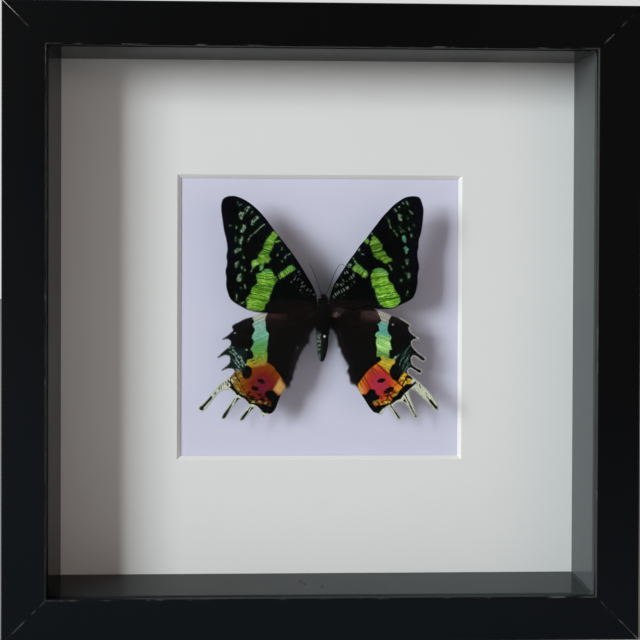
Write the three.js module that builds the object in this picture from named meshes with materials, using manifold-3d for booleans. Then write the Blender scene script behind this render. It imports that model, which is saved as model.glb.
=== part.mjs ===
// Framed moth specimen in a deep box frame. Millimetres, +Z up, +X to the right seen from the front,
// which faces -Y. The origin is at the middle of the frame's underside.
import * as THREE from 'three';
import { mergeVertices } from 'three/addons/utils/BufferGeometryUtils.js';
import Module from 'manifold-3d';

const wasm = await Module();
wasm.setup();

// Frame
const frameSize = 250; // outside width and height
const frameDepth = 45;
const openingHalf = 107.8; // half the clear opening inside the lip
const lipThickness = 3; // the part of a rail in front of the glass
const legWidth = 10; // the part of a rail beside the rebate
const mitreGap = 0.2;
const gap = 0.3; // between pieces that touch

// What lies in the rebate, front to back
const glassThickness = 2;
const spacerDepth = 31.1;
const matThickness = 1.5;
const matWindowHalf = 60; // half the window, at the mat's face
const matWindowShift = 0.5; // the window sits a little right of the middle
const cardThickness = 1;
const panelThickness = 2.8;

// Bendable tabs that hold the back panel
const tabWidth = 12;
const tabLength = 14;
const tabThickness = 0.5;
const tabInRail = 2; // how far a tab reaches into its slot
const tabOffset = 60; // from the middle of a rail

// Sawtooth hanger on the back panel
const hangerLength = 46;
const hangerHeight = 10;
const hangerThickness = 0.7;
const hangerStandoff = 0.9; // the toothed middle stands this far off the two feet
const hangerFoot = 9;
const hangerDrop = 24; // from the frame's top edge to the hanger's middle
const toothPitch = 3;
const toothCount = 7;
const rivetShankRadius = 1.2;
const rivetHeadRadius = 2.3;
const rivetHeadHeight = 0.6;

// Moth, in its own frame: x to its right wing, y towards its head, z towards the glass
const mothShift = 1; // from the frame's middle to the moth's axis
const bodyHeight = 16; // from the card to the body's axis
const wingThickness = 0.35;
const wingRoot = 3.3; // from the body's axis to where a wing solid starts
const foreHinge = 16.7; // height of a forewing at its root
const foreRise = 0.05; // rise per millimetre outwards
const foreLift = 5; // the front edge stands this much higher near its middle
const hindHinge = 14.4;
const hindRise = 0.075; // of its front edge; the tails stay level
const pinRadius = 0.25;
const pinHeadRadius = 0.6;
const pinTop = 19.5;
const pinInCard = 0.75;
const pinAt = new THREE.Vector2(0.4, -6.6);

const half = frameSize / 2;
const front = -frameDepth / 2;
const glassFront = front + lipThickness + gap;
const spacerFront = glassFront + glassThickness + gap;
const matFront = spacerFront + spacerDepth + gap;
const cardFront = matFront + matThickness + gap;
const panelFront = cardFront + cardThickness + gap;
const panelBack = panelFront + panelThickness;
const tabFront = panelBack + gap;
const insertHalf = half - legWidth - gap; // half of every sheet that drops into the rebate

const material = (color, roughness, metalness = 0) =>
  new THREE.MeshStandardMaterial({ color, roughness, metalness });

const blackFoil = material(0x0e0f12, 0.38);
const blackBoard = material(0x1b1d1f, 0.3);
const clearGlass = material(0xe8f0ee, 0.03);
const matBoard = material(0xd6d5d0, 0.9);
const lilacCard = material(0xc4c6da, 0.85);
const hardboard = material(0x6e4b30, 0.75);
const steel = material(0xb4b6b8, 0.35, 1);
const scales = material(0x0b0c10, 0.6);
const greenScales = material(0x5fb81c, 0.45);
const hair = material(0x1d1614, 0.9);

const framed = new THREE.Group();

function add(parent, name, geometry, finish) {
  const mesh = new THREE.Mesh(geometry, finish);
  mesh.name = name;
  parent.add(mesh);
  return mesh;
}

// A closed geometry as a solid that can be cut
function solid(geometry) {
  const bare = geometry.clone();
  bare.deleteAttribute('normal');
  bare.deleteAttribute('uv');
  const merged = mergeVertices(bare, 1e-4);
  return new wasm.Manifold(new wasm.Mesh({
    numProp: 3,
    vertProperties: new Float32Array(merged.attributes.position.array),
    triVerts: new Uint32Array(merged.index.array),
  }));
}

function geometryOf(cut) {
  const { vertProperties, triVerts } = cut.getMesh();
  const geometry = new THREE.BufferGeometry();
  geometry.setAttribute('position', new THREE.BufferAttribute(vertProperties, 3));
  geometry.setIndex(new THREE.BufferAttribute(triVerts, 1));
  geometry.computeVertexNormals();
  return geometry;
}

function polygon(corners) {
  return new THREE.Shape(corners.map(([x, y]) => new THREE.Vector2(x, y)));
}

function extrude(shape, depth, curveSegments = 12) {
  return new THREE.ExtrudeGeometry(shape, { depth, bevelEnabled: false, curveSegments });
}

// A shape drawn as seen from the front, extruded from depth y to depth y + thickness
function sheet(shape, y, thickness, curveSegments) {
  return extrude(shape, thickness, curveSegments).rotateX(Math.PI / 2).translate(0, y + thickness, 0);
}

function square(halfSide, shift = 0) {
  return polygon([
    [shift - halfSide, -halfSide], [shift + halfSide, -halfSide],
    [shift + halfSide, halfSide], [shift - halfSide, halfSide],
  ]);
}

function roundHole(x, y, radius) {
  const hole = new THREE.Path();
  hole.absarc(x, y, radius, 0, 2 * Math.PI, true);
  return hole;
}

// ---- Frame rails: one L-section, mitred at both ends, with two slots for the tabs

function railGeometry() {
  const section = polygon([
    [front, openingHalf], [front + lipThickness, openingHalf],
    [front + lipThickness, half - legWidth], [-front, half - legWidth],
    [-front, half], [front, half],
  ]);
  // drawn as (depth, height) and swept along the rail
  const bar = extrude(section, frameSize).applyMatrix4(new THREE.Matrix4().makeBasis(
    new THREE.Vector3(0, 1, 0), new THREE.Vector3(0, 0, 1), new THREE.Vector3(1, 0, 0),
  )).translate(-half, 0, 0);
  const inset = mitreGap / Math.SQRT2;
  const mitres = sheet(polygon([
    [inset - half - 1, half + 1], [-openingHalf + 1 + inset, openingHalf - 1],
    [openingHalf - 1 - inset, openingHalf - 1], [half + 1 - inset, half + 1],
  ]), front - 1, frameDepth + 2);
  const slot = new THREE.BoxGeometry(tabWidth + 2 * gap, tabThickness + 2 * gap, 2 * (tabInRail + gap));
  let rail = solid(bar).intersect(solid(mitres));
  for (const side of [-1, 1]) {
    const place = slot.clone().translate(side * tabOffset, tabFront + tabThickness / 2, half - legWidth);
    rail = rail.subtract(solid(place));
  }
  return geometryOf(rail);
}

// A tab lies on the back panel, its root in the rail's slot and its free end rounded
function tabGeometry(x) {
  const root = half - legWidth + tabInRail;
  const end = root - tabLength;
  const corner = tabWidth / 2;
  const shape = new THREE.Shape();
  shape.moveTo(x - corner, root);
  shape.lineTo(x - corner, end + corner);
  shape.absarc(x, end + corner, corner, Math.PI, 2 * Math.PI, false);
  shape.lineTo(x + corner, root);
  shape.closePath();
  return sheet(shape, tabFront, tabThickness, 8);
}

const frameMiddle = new THREE.Group();
frameMiddle.position.z = half;
framed.add(frameMiddle);

['top', 'right', 'bottom', 'left'].forEach((side, turn) => {
  const quarter = new THREE.Group();
  quarter.rotation.y = turn * Math.PI / 2;
  frameMiddle.add(quarter);
  add(quarter, `rail_${side}`, railGeometry(), blackFoil);
  add(quarter, `tab_${side}_1`, tabGeometry(-tabOffset), steel);
  add(quarter, `tab_${side}_2`, tabGeometry(tabOffset), steel);
});

// ---- Sheets in the rebate

add(frameMiddle, 'glass_pane', sheet(square(insertHalf), glassFront, glassThickness), clearGlass);

// Spacer strips line the walls of the box; the side strips stand between the other two
for (const [side, direction] of [['top', 1], ['bottom', -1]]) {
  const strip = new THREE.BoxGeometry(2 * insertHalf, spacerDepth, insertHalf - openingHalf);
  const placed = add(frameMiddle, `spacer_${side}`, strip, blackBoard);
  placed.position.set(0, spacerFront + spacerDepth / 2, direction * (insertHalf + openingHalf) / 2);
}
for (const [side, direction] of [['left', -1], ['right', 1]]) {
  const strip = new THREE.BoxGeometry(insertHalf - openingHalf, spacerDepth, 2 * (openingHalf - gap));
  const placed = add(frameMiddle, `spacer_${side}`, strip, blackBoard);
  placed.position.set(direction * (insertHalf + openingHalf) / 2, spacerFront + spacerDepth / 2, 0);
}

// The mat's window is cut at 45 degrees, wider at the face
function matGeometry() {
  const board = sheet(square(insertHalf), matFront, matThickness);
  const wide = (matWindowHalf + 1) * Math.SQRT2;
  const narrow = (matWindowHalf - matThickness - 1) * Math.SQRT2;
  const cutter = new THREE.CylinderGeometry(narrow, wide, matThickness + 2, 4)
    .rotateY(Math.PI / 4)
    .translate(matWindowShift, matFront + matThickness / 2, 0);
  return geometryOf(solid(board).subtract(solid(cutter)));
}
add(frameMiddle, 'mat', matGeometry(), matBoard);

const cardShape = square(insertHalf);
cardShape.holes.push(roundHole(mothShift + pinAt.x, pinAt.y, pinRadius + gap));
add(frameMiddle, 'mount_card', sheet(cardShape, cardFront, cardThickness), lilacCard);

const rivetX = hangerLength / 2 - hangerFoot / 2;
const hangerZ = half - hangerDrop;
const panelShape = square(insertHalf);
for (const side of [-1, 1]) {
  panelShape.holes.push(roundHole(side * rivetX, hangerZ, rivetShankRadius + gap));
}
add(frameMiddle, 'back_panel', sheet(panelShape, panelFront, panelThickness), hardboard);

// ---- Hanger: a strip with two feet and a raised, toothed middle

function hangerGeometry() {
  const foot = panelBack + gap;
  const raised = foot + hangerStandoff;
  const bend = hangerLength / 2 - hangerFoot;
  const upper = [
    [-hangerLength / 2, foot], [-bend, foot], [-bend + hangerStandoff, raised],
    [bend - hangerStandoff, raised], [bend, foot], [hangerLength / 2, foot],
  ];
  const lower = upper.map(([x, y]) => [x, y + hangerThickness]).reverse();
  const strip = extrude(polygon([...upper, ...lower]), hangerHeight).translate(0, 0, hangerZ - hangerHeight / 2);
  let hanger = solid(strip);
  for (let tooth = 0; tooth < toothCount; tooth += 1) {
    const x = (tooth - (toothCount - 1) / 2) * toothPitch;
    const bottom = hangerZ - hangerHeight / 2;
    const notch = sheet(polygon([
      [x - toothPitch * 0.45, bottom - 1], [x + toothPitch * 0.45, bottom - 1], [x, bottom + 2],
    ]), foot - 1, hangerStandoff + hangerThickness + 2);
    hanger = hanger.subtract(solid(notch));
  }
  for (const side of [-1, 1]) {
    const hole = new THREE.CylinderGeometry(rivetShankRadius + gap, rivetShankRadius + gap, 4, 20)
      .translate(side * rivetX, foot, hangerZ);
    hanger = hanger.subtract(solid(hole));
  }
  return geometryOf(hanger);
}
add(frameMiddle, 'hanger', hangerGeometry(), steel);

// A rivet runs through the hanger's foot and the panel, its domed head outside
function rivetGeometry() {
  const under = panelBack + 2 * gap + hangerThickness;
  const start = panelFront + 0.1;
  const profile = [
    [0, start], [rivetShankRadius, start], [rivetShankRadius, under], [rivetHeadRadius, under],
    [rivetHeadRadius * 0.8, under + rivetHeadHeight * 0.7], [0, under + rivetHeadHeight],
  ];
  return new THREE.LatheGeometry(profile.map(([r, y]) => new THREE.Vector2(r, y)), 20);
}
for (const [side, direction] of [['left', -1], ['right', 1]]) {
  add(frameMiddle, `rivet_${side}`, rivetGeometry(), steel).position.set(direction * rivetX, 0, hangerZ);
}

// ---- Moth, pinned over the card with its upper side to the glass

const moth = new THREE.Group();
moth.position.set(mothShift, cardFront, 0);
moth.rotation.x = Math.PI / 2;
frameMiddle.add(moth);

// Outlines as (distance from the body's axis, distance along it), from the root round the wing.
// The left and right wings are set a little differently.
const foreOutline = {
  left: [
    [3.3, 12], [6.8, 18], [13, 27.6], [19, 35], [24.3, 42], [29.6, 47], [33.5, 49.4], [37, 50.3],
    [40.6, 49], [41.5, 45.5], [40.8, 38.5], [39.3, 31], [39.3, 24], [39.6, 17], [38.8, 11], [36.2, 7],
    [31.8, 4.5], [26, 3], [18, 2.8], [10, 3.2], [3.3, 3.4],
  ],
  right: [
    [3.3, 11], [6.1, 17], [13.3, 27.8], [19.6, 36.3], [24.1, 42.2], [28.6, 47], [33, 50], [36.5, 50.5],
    [39, 49.4], [40.3, 45], [39.6, 37], [38.4, 30], [38.4, 22], [38, 15], [36.6, 9.8], [32.2, 6.6],
    [27.7, 4.7], [22.8, 4.4], [14, 4.2], [8, 3.8], [3.3, 3.4],
  ],
};
const hindOutline = {
  left: [
    [3.3, 2.4], [12, 3.6], [20, 3.6], [26, 2], [32, -0.2], [37.3, -3.1], [37.2, -5.6], [41.2, -8.5],
    [37.8, -9.4], [38.2, -11.4], [43.2, -16.1], [38.3, -15.6], [38.2, -18.2], [41.6, -21.4],
    [36.4, -21], [37, -23.1], [42.7, -28], [50.3, -36.6], [49.4, -37.8], [44.4, -32], [38.5, -28.9],
    [35.6, -31.6], [41.3, -41.1], [40.4, -41.1], [34.5, -33.2], [31.5, -33.4], [30.1, -35.5],
    [33.9, -41.9], [33, -41.8], [28, -36.6], [25.6, -37.4], [24, -40.2], [20.8, -38.9], [18.3, -34.5],
    [15.7, -29], [13.4, -24.7], [11.8, -18.7], [8.6, -11.9], [5, -5.5], [3.3, -2.6],
  ],
  right: [
    [3.3, 2.6], [12, 4.2], [21, 3.9], [28.5, 1.5], [34, -0.9], [36.6, -3], [36.2, -5], [40, -8.3],
    [37, -9.4], [37.4, -11.3], [42.7, -16.5], [42, -17.5], [37.5, -15.4], [37.3, -18.7], [41.1, -21.2],
    [40.6, -22.6], [35.5, -21], [36.4, -23.4], [41.1, -27.2], [48, -36.4], [47.6, -37.8], [41.2, -31.9],
    [36.8, -29], [35.9, -31], [39.4, -40.7], [38.5, -40.8], [34, -34.4], [30.6, -34.6], [29.4, -36.2],
    [32.4, -41.2], [31.6, -41.4], [27, -36.2], [24, -39.6], [21.5, -38.7], [17.5, -33.3],
    [13.9, -26.7], [11.6, -20], [8.5, -13], [5.5, -5.4], [3.3, -2.2],
  ],
};

function foreHeight(x, y) {
  // distances along the front edge and back from it
  const along = 0.548 * (Math.abs(x) - 2.4) + 0.836 * (y - 8.6);
  const back = 0.836 * (Math.abs(x) - 2.4) - 0.548 * (y - 8.6);
  const share = THREE.MathUtils.clamp(along / 14, 0, 1)
    * THREE.MathUtils.clamp((46 - along) / 20, 0, 1)
    * THREE.MathUtils.clamp(1 - back / 16, 0, 1);
  const lift = foreLift * THREE.MathUtils.smoothstep(share, 0, 1);
  return foreHinge + foreRise * (Math.abs(x) - wingRoot) + lift;
}

function hindHeight(x, y) {
  const towardsFront = THREE.MathUtils.clamp((y + 12) / 14, 0, 1);
  return hindHinge + hindRise * (Math.abs(x) - wingRoot) * towardsFront;
}

// A thin plate of the given outline, each point lifted to its height over the card
function wingGeometry(outline, side, height) {
  const geometry = extrude(polygon(outline.map(([x, y]) => [side * x, y])), wingThickness);
  const place = geometry.attributes.position;
  for (let i = 0; i < place.count; i += 1) {
    place.setZ(i, place.getZ(i) + height(place.getX(i), place.getY(i)));
  }
  return geometry;
}

for (const [name, side] of [['left', -1], ['right', 1]]) {
  add(moth, `forewing_${name}`, wingGeometry(foreOutline[name], side, foreHeight), greenScales);
  add(moth, `hindwing_${name}`, wingGeometry(hindOutline[name], side, hindHeight), scales);
}

// Body: abdomen, thorax and head turned about one axis, bored for the pin
function bodyGeometry() {
  const outline = new THREE.SplineCurve([
    [0, -17.2], [1.1, -16.4], [1.9, -13.5], [2.3, -9], [2.2, -5], [2.2, -3], [2.9, 0], [3, 3],
    [2.4, 6], [1.5, 7.4], [1.75, 8.8], [1.3, 10], [0, 10.6],
  ].map(([r, y]) => new THREE.Vector2(r, y))).getPoints(36);
  outline[0].x = 0;
  outline[outline.length - 1].x = 0;
  const body = new THREE.LatheGeometry(outline, 24);
  const bore = new THREE.CylinderGeometry(pinRadius + gap, pinRadius + gap, 12, 12)
    .rotateX(Math.PI / 2)
    .translate(pinAt.x, pinAt.y, 0);
  return geometryOf(solid(body).subtract(solid(bore)));
}
add(moth, 'moth_body', bodyGeometry(), hair).position.z = bodyHeight;

// Antennae: thin rods that curve outwards at their ends, as (x, y, height over the card)
const antennaRadius = 0.18;
const antennaRoute = {
  left: [[-0.9, 11], [-2.4, 14.9], [-4, 19.3], [-6, 22.5]],
  right: [[1.3, 11], [3.3, 15.2], [4.7, 19.3], [6.9, 22.6]],
};
for (const [name, route] of Object.entries(antennaRoute)) {
  const points = route.map(([x, y], i) => new THREE.Vector3(x, y, bodyHeight + 0.8 + 0.5 * i));
  const section = new THREE.Shape();
  section.absarc(0, 0, antennaRadius, 0, 2 * Math.PI, false);
  const rod = new THREE.ExtrudeGeometry(section, {
    steps: 14, curveSegments: 4, extrudePath: new THREE.CatmullRomCurve3(points),
  });
  add(moth, `antenna_${name}`, rod, scales);
}

// Specimen pin, from its hole in the card through the body to a round head
function pinGeometry() {
  const profile = [new THREE.Vector2(0, -pinInCard), new THREE.Vector2(pinRadius, 0.5 - pinInCard)];
  const neck = Math.asin(pinRadius / pinHeadRadius);
  for (let step = 0; step <= 6; step += 1) {
    const angle = THREE.MathUtils.lerp(neck, Math.PI, step / 6);
    profile.push(new THREE.Vector2(
      step === 6 ? 0 : pinHeadRadius * Math.sin(angle), pinTop - pinHeadRadius * Math.cos(angle),
    ));
  }
  return new THREE.LatheGeometry(profile, 12);
}
const pin = add(moth, 'specimen_pin', pinGeometry(), steel);
pin.rotation.x = Math.PI / 2;
pin.position.set(pinAt.x, pinAt.y, 0);

export default framed;
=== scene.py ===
import math

import bpy
import numpy as np
from mathutils import Matrix, Vector
from mathutils.geometry import delaunay_2d_cdt


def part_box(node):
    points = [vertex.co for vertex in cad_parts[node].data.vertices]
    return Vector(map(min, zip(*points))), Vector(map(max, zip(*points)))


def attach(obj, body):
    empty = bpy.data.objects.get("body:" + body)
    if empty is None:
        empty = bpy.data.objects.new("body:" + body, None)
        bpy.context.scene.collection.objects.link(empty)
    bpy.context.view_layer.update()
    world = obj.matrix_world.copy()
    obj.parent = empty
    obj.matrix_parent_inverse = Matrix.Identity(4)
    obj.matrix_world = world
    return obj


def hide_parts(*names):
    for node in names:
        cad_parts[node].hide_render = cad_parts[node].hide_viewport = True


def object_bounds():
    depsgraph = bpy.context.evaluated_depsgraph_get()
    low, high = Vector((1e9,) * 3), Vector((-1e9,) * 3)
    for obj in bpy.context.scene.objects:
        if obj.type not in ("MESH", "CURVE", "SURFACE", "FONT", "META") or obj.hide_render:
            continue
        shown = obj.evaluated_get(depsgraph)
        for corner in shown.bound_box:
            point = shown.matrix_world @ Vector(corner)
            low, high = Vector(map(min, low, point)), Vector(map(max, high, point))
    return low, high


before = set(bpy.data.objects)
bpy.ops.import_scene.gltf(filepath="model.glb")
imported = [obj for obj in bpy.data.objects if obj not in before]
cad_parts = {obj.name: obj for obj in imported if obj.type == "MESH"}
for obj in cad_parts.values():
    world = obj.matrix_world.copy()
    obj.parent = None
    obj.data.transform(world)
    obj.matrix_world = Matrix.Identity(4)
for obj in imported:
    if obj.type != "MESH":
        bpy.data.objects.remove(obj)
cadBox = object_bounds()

# A pinned day-flying moth in a deep black box frame, and its studio.
# Lengths are millimetres, apart from the studio's and those in the materials.
mm = 0.001
frontY = cadBox[0].y
midZ = (cadBox[0].z + cadBox[1].z) / 2
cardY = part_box("mount_card")[0].y
mothX = (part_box("moth_body")[0].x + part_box("moth_body")[1].x) / 2


def atMoth(u, v, h):  # u to the right wing, v towards the head, h up from the card
    return Vector((mothX + u * mm, cardY - h * mm, midZ + v * mm))


studio = {  # places in metres
    "cameraPlace": (-0.0272, -0.4938, 0.1552),
    "cameraTurn": (-2.11, -0.60, -0.20),  # yaw, pitch and roll in degrees
    "focalLength": 68.05,
    "shift": (0.0328, -0.0963),
    "lightDistance": 6.0,
    "lights": {  # direction, width and height seen from the frame (radians), power in watts, colour
        "near_window": ((-0.72, -1.0, 0.31), (0.09, 0.5), 100, (0.97, 1.0, 1.0)),
        "far_window": ((-1.02, -1.0, 0.31), (0.41, 0.55), 235, (0.97, 1.0, 1.0)),
        "room": ((0.55, -1.0, 0.12), (0.7, 0.6), 50, (1.0, 0.77, 0.69)),
    },
    "fill": 0.20,
    "fillColour": (1.0, 0.91, 0.88),
    "paleWall": 0.89,
    "floorHalf": 3.0,
    "floorColour": (0.74, 0.74, 0.73),
}


def addCamera():
    camera = bpy.data.objects.new("camera", bpy.data.cameras.new("camera"))
    bpy.context.scene.collection.objects.link(camera)
    yaw, pitch, roll = (math.radians(a) for a in studio["cameraTurn"])
    camera.matrix_world = (
        Matrix.Translation(studio["cameraPlace"])
        @ Matrix.Rotation(yaw, 4, "Z")
        @ Matrix.Rotation(pitch + math.pi / 2, 4, "X")
        @ Matrix.Rotation(-roll, 4, "Z")
    )
    camera.data.lens = studio["focalLength"]
    camera.data.shift_x, camera.data.shift_y = studio["shift"]
    camera.data.clip_start = 0.02
    camera.data.clip_end = 20
    bpy.context.scene.camera = camera


def addLight(name, direction, spread, power, colour):
    lamp = bpy.data.lights.new(name, "AREA")
    lamp.shape = "RECTANGLE"
    away = Vector(direction)
    reach = studio["lightDistance"] / away.length
    lamp.size = spread[0] * reach
    lamp.size_y = spread[1] * reach
    lamp.energy = power
    lamp.color = colour
    light = bpy.data.objects.new(name, lamp)
    bpy.context.scene.collection.objects.link(light)
    light.location = Vector((0, 0, midZ)) + away * reach
    light.rotation_euler = away.to_track_quat("Z", "Y").to_euler()


def addWorld():
    # a dim even fill, seen by the camera as a pale wall
    world = bpy.data.worlds.new("fill")
    bpy.context.scene.world = world
    world.use_nodes = True
    nodes = world.node_tree.nodes
    links = world.node_tree.links
    nodes.clear()
    fill = nodes.new("ShaderNodeBackground")
    fill.inputs["Color"].default_value = (*studio["fillColour"], 1)
    fill.inputs["Strength"].default_value = studio["fill"]
    wall = nodes.new("ShaderNodeBackground")
    wall.inputs["Strength"].default_value = studio["paleWall"]
    ray = nodes.new("ShaderNodeLightPath")
    mix = nodes.new("ShaderNodeMixShader")
    out = nodes.new("ShaderNodeOutputWorld")
    links.new(ray.outputs["Is Camera Ray"], mix.inputs[0])
    links.new(fill.outputs[0], mix.inputs[1])
    links.new(wall.outputs[0], mix.inputs[2])
    links.new(mix.outputs[0], out.inputs[0])


addCamera()
for name, setting in studio["lights"].items():
    addLight(name, *setting)
addWorld()
bpy.context.scene.view_settings.view_transform = "Standard"
print("studio ready")


class Flow:
    # one node output that can be added, scaled and compared
    def __init__(self, finish, end):
        self.finish = finish
        self.end = end

    def maths(self, operation, *values):
        return self.finish.node("ShaderNodeMath", {"operation": operation}, dict(enumerate(values)))

    def __add__(self, other):
        return self.maths("ADD", self, other)

    def __radd__(self, other):
        return self.maths("ADD", other, self)

    def __sub__(self, other):
        return self.maths("SUBTRACT", self, other)

    def __rsub__(self, other):
        return self.maths("SUBTRACT", other, self)

    def __mul__(self, other):
        return self.maths("MULTIPLY", self, other)

    def __rmul__(self, other):
        return self.maths("MULTIPLY", other, self)

    def __truediv__(self, other):
        return self.maths("DIVIDE", self, other)

    def __pow__(self, other):
        return self.maths("POWER", self, other)

    def __abs__(self):
        return self.maths("ABSOLUTE", self)

    def lower(self, other):
        return self.maths("MINIMUM", self, other)

    def higher(self, other):
        return self.maths("MAXIMUM", self, other)

    def rise(self, low, high):  # 0 below low, 1 above high
        settings = {"interpolation_type": "SMOOTHSTEP"}
        if low <= high:
            return self.finish.node("ShaderNodeMapRange", settings, {0: self, 1: low, 2: high})
        return self.finish.node("ShaderNodeMapRange", settings, {0: self, 1: high, 2: low, 3: 1.0, 4: 0.0})

    def axis(self, name):
        return self.finish.node("ShaderNodeSeparateXYZ", {}, {0: self}, name)


class Finish:
    # a material in the making
    def __init__(self, name):
        self.material = bpy.data.materials.new(name)
        self.material.use_nodes = True
        self.tree = self.material.node_tree
        self.tree.nodes.clear()
        self.place = self.node("ShaderNodeTexCoord", {}, {}, "Object")

    def node(self, kind, settings, sockets, output=0):
        made = self.tree.nodes.new(kind)
        for key, value in settings.items():
            if key == "stops":
                ramp = made.color_ramp
                while len(ramp.elements) < len(value):
                    ramp.elements.new(1.0)
                for element, (position, colour) in zip(ramp.elements, value):
                    element.position = position
                    element.color = (*colour, 1)
            else:
                setattr(made, key, value)
        for key, value in sockets.items():
            if isinstance(value, Flow):
                self.tree.links.new(value.end, made.inputs[key])
            elif isinstance(value, tuple) and made.inputs[key].type == "RGBA":
                made.inputs[key].default_value = (*value, 1)
            else:
                made.inputs[key].default_value = value
        return Flow(self, made.outputs[output]) if made.outputs else None

    def attribute(self, name):
        return self.node("ShaderNodeAttribute", {"attribute_name": name}, {}, "Fac")

    def fromBody(self):  # millimetres across and along from the middle of the moth's body
        return (self.place.axis("X") - mothX) * 1000, (self.place.axis("Z") - midZ) * 1000

    def noise(self, scale, detail=3.0, vector=None, rough=0.5, stretch=None):
        vector = vector or self.place
        if stretch:
            vector = self.stretched(vector, stretch)
        return self.node("ShaderNodeTexNoise", {},
                         {"Vector": vector, "Scale": scale, "Detail": detail, "Roughness": rough})

    def lines(self, along, scale, detail=2.0):  # noise that changes along one number only
        return self.node("ShaderNodeTexNoise", {"noise_dimensions": "1D"},
                         {"W": along, "Scale": scale, "Detail": detail})

    def cells(self, scale, stretch=(1.0, 1.0, 1.0), output="Distance", feature="F1"):
        vector = self.stretched(self.place, stretch)
        return self.node("ShaderNodeTexVoronoi", {"feature": feature},
                         {"Vector": vector, "Scale": scale}, output)

    def grain(self, turn, scale, stretch):
        # distance from the middles of long cells, their length turned anticlockwise seen from the front
        turn = math.radians(turn)
        x, z = self.place.axis("X"), self.place.axis("Z")
        along = (x * math.cos(turn) + z * math.sin(turn)) * (1.0 / stretch)
        across = z * math.cos(turn) - x * math.sin(turn)
        flat = self.node("ShaderNodeCombineXYZ", {}, {0: along, 1: across})
        return self.node("ShaderNodeTexVoronoi", {"voronoi_dimensions": "2D"},
                         {"Vector": flat, "Scale": scale, "Randomness": 0.50})

    def mix(self, amount, first, second, kind="MIX"):
        settings = {"data_type": "RGBA", "blend_type": kind, "clamp_factor": True}
        return self.node("ShaderNodeMix", settings, {0: amount, 6: first, 7: second}, 2)

    def scaled(self, colour, amount):
        return self.node("ShaderNodeVectorMath", {"operation": "SCALE"}, {0: colour, "Scale": amount})

    def stretched(self, vector, stretch):
        return self.node("ShaderNodeVectorMath", {"operation": "MULTIPLY"}, {0: vector, 1: stretch})

    def ramp(self, amount, stops):
        return self.node("ShaderNodeValToRGB", {"stops": stops}, {0: amount}, "Color")

    def bump(self, height, distance, strength=1.0):
        return self.node("ShaderNodeBump", {},
                         {"Strength": strength, "Distance": distance, "Height": height})

    def principled(self, sockets):
        return self.node("ShaderNodeBsdfPrincipled", {}, sockets)

    def done(self, surface):
        self.node("ShaderNodeOutputMaterial", {}, {"Surface": surface})
        return self.material


def tidySelection():
    if bpy.context.object and bpy.context.object.mode != "OBJECT":
        bpy.ops.object.mode_set(mode="OBJECT")
    bpy.ops.object.select_all(action="DESELECT")


def newest(name):
    piece = bpy.context.active_object
    piece.name = name
    piece.data.name = name
    return piece


def pickFaces(piece, test):
    # leaves edit mode on, with only the faces whose centre and normal pass the test selected
    bpy.ops.object.mode_set(mode="OBJECT")
    for part in (*piece.data.vertices, *piece.data.edges, *piece.data.polygons):
        part.select = False
    for face in piece.data.polygons:
        face.select = test(face.center, face.normal)
    bpy.ops.object.mode_set(mode="EDIT")
    bpy.ops.mesh.select_mode(type="FACE")


def pickEdges(piece, test):
    bpy.ops.object.mode_set(mode="OBJECT")
    for part in (*piece.data.vertices, *piece.data.edges, *piece.data.polygons):
        part.select = False
    for edge in piece.data.edges:
        edge.select = test(*(piece.data.vertices[i].co for i in edge.vertices))
    bpy.ops.object.mode_set(mode="EDIT")
    bpy.ops.mesh.select_mode(type="EDGE")


def settle(piece, finish=None, smoothAngle=None):
    # object mode, its place in its mesh, one material
    bpy.ops.object.mode_set(mode="OBJECT")
    tidySelection()
    piece.select_set(True)
    bpy.context.view_layer.objects.active = piece
    bpy.ops.object.transform_apply(location=True, rotation=True, scale=True)
    if smoothAngle:
        bpy.ops.object.shade_smooth_by_angle(angle=math.radians(smoothAngle))
    if finish:
        piece.data.materials.clear()
        piece.data.materials.append(finish)
    piece.select_set(False)
    return piece


def applyModifier(piece, kind, **settings):
    tidySelection()
    piece.select_set(True)
    bpy.context.view_layer.objects.active = piece
    modifier = piece.modifiers.new(kind.lower(), kind)
    for key, value in settings.items():
        setattr(modifier, key, value)
    bpy.ops.object.modifier_apply(modifier=modifier.name)


def meshPiece(name, points, faces, finish, smooth=True):
    data = bpy.data.meshes.new(name)
    data.from_pydata([tuple(p) for p in points], [], faces)
    data.validate()
    data.materials.append(finish)
    if smooth:
        data.shade_smooth()
    piece = bpy.data.objects.new(name, data)
    bpy.context.scene.collection.objects.link(piece)
    return piece


def standsFor(piece, slot, *nodes):
    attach(piece, "root")
    if nodes:
        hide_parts(*nodes)


foilIs = {
    "dark": ((0.0006, 0.0008, 0.0011), (0.0014, 0.0017, 0.0022)),
    "lit": (0.0052, 0.0070, 0.0092),  # the lower left of the front
    "outside": ((0.0065, 0.0072, 0.0088), (0.0105, 0.0115, 0.0135)),
    "dust": (0.016, 0.016, 0.018),
    "worn": (0.16, 0.16, 0.15),
    "board": ((0.16, 0.088, 0.045), (0.34, 0.21, 0.12)),
    "outsideFrom": 0.1249,  # half width in metres
}


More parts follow.
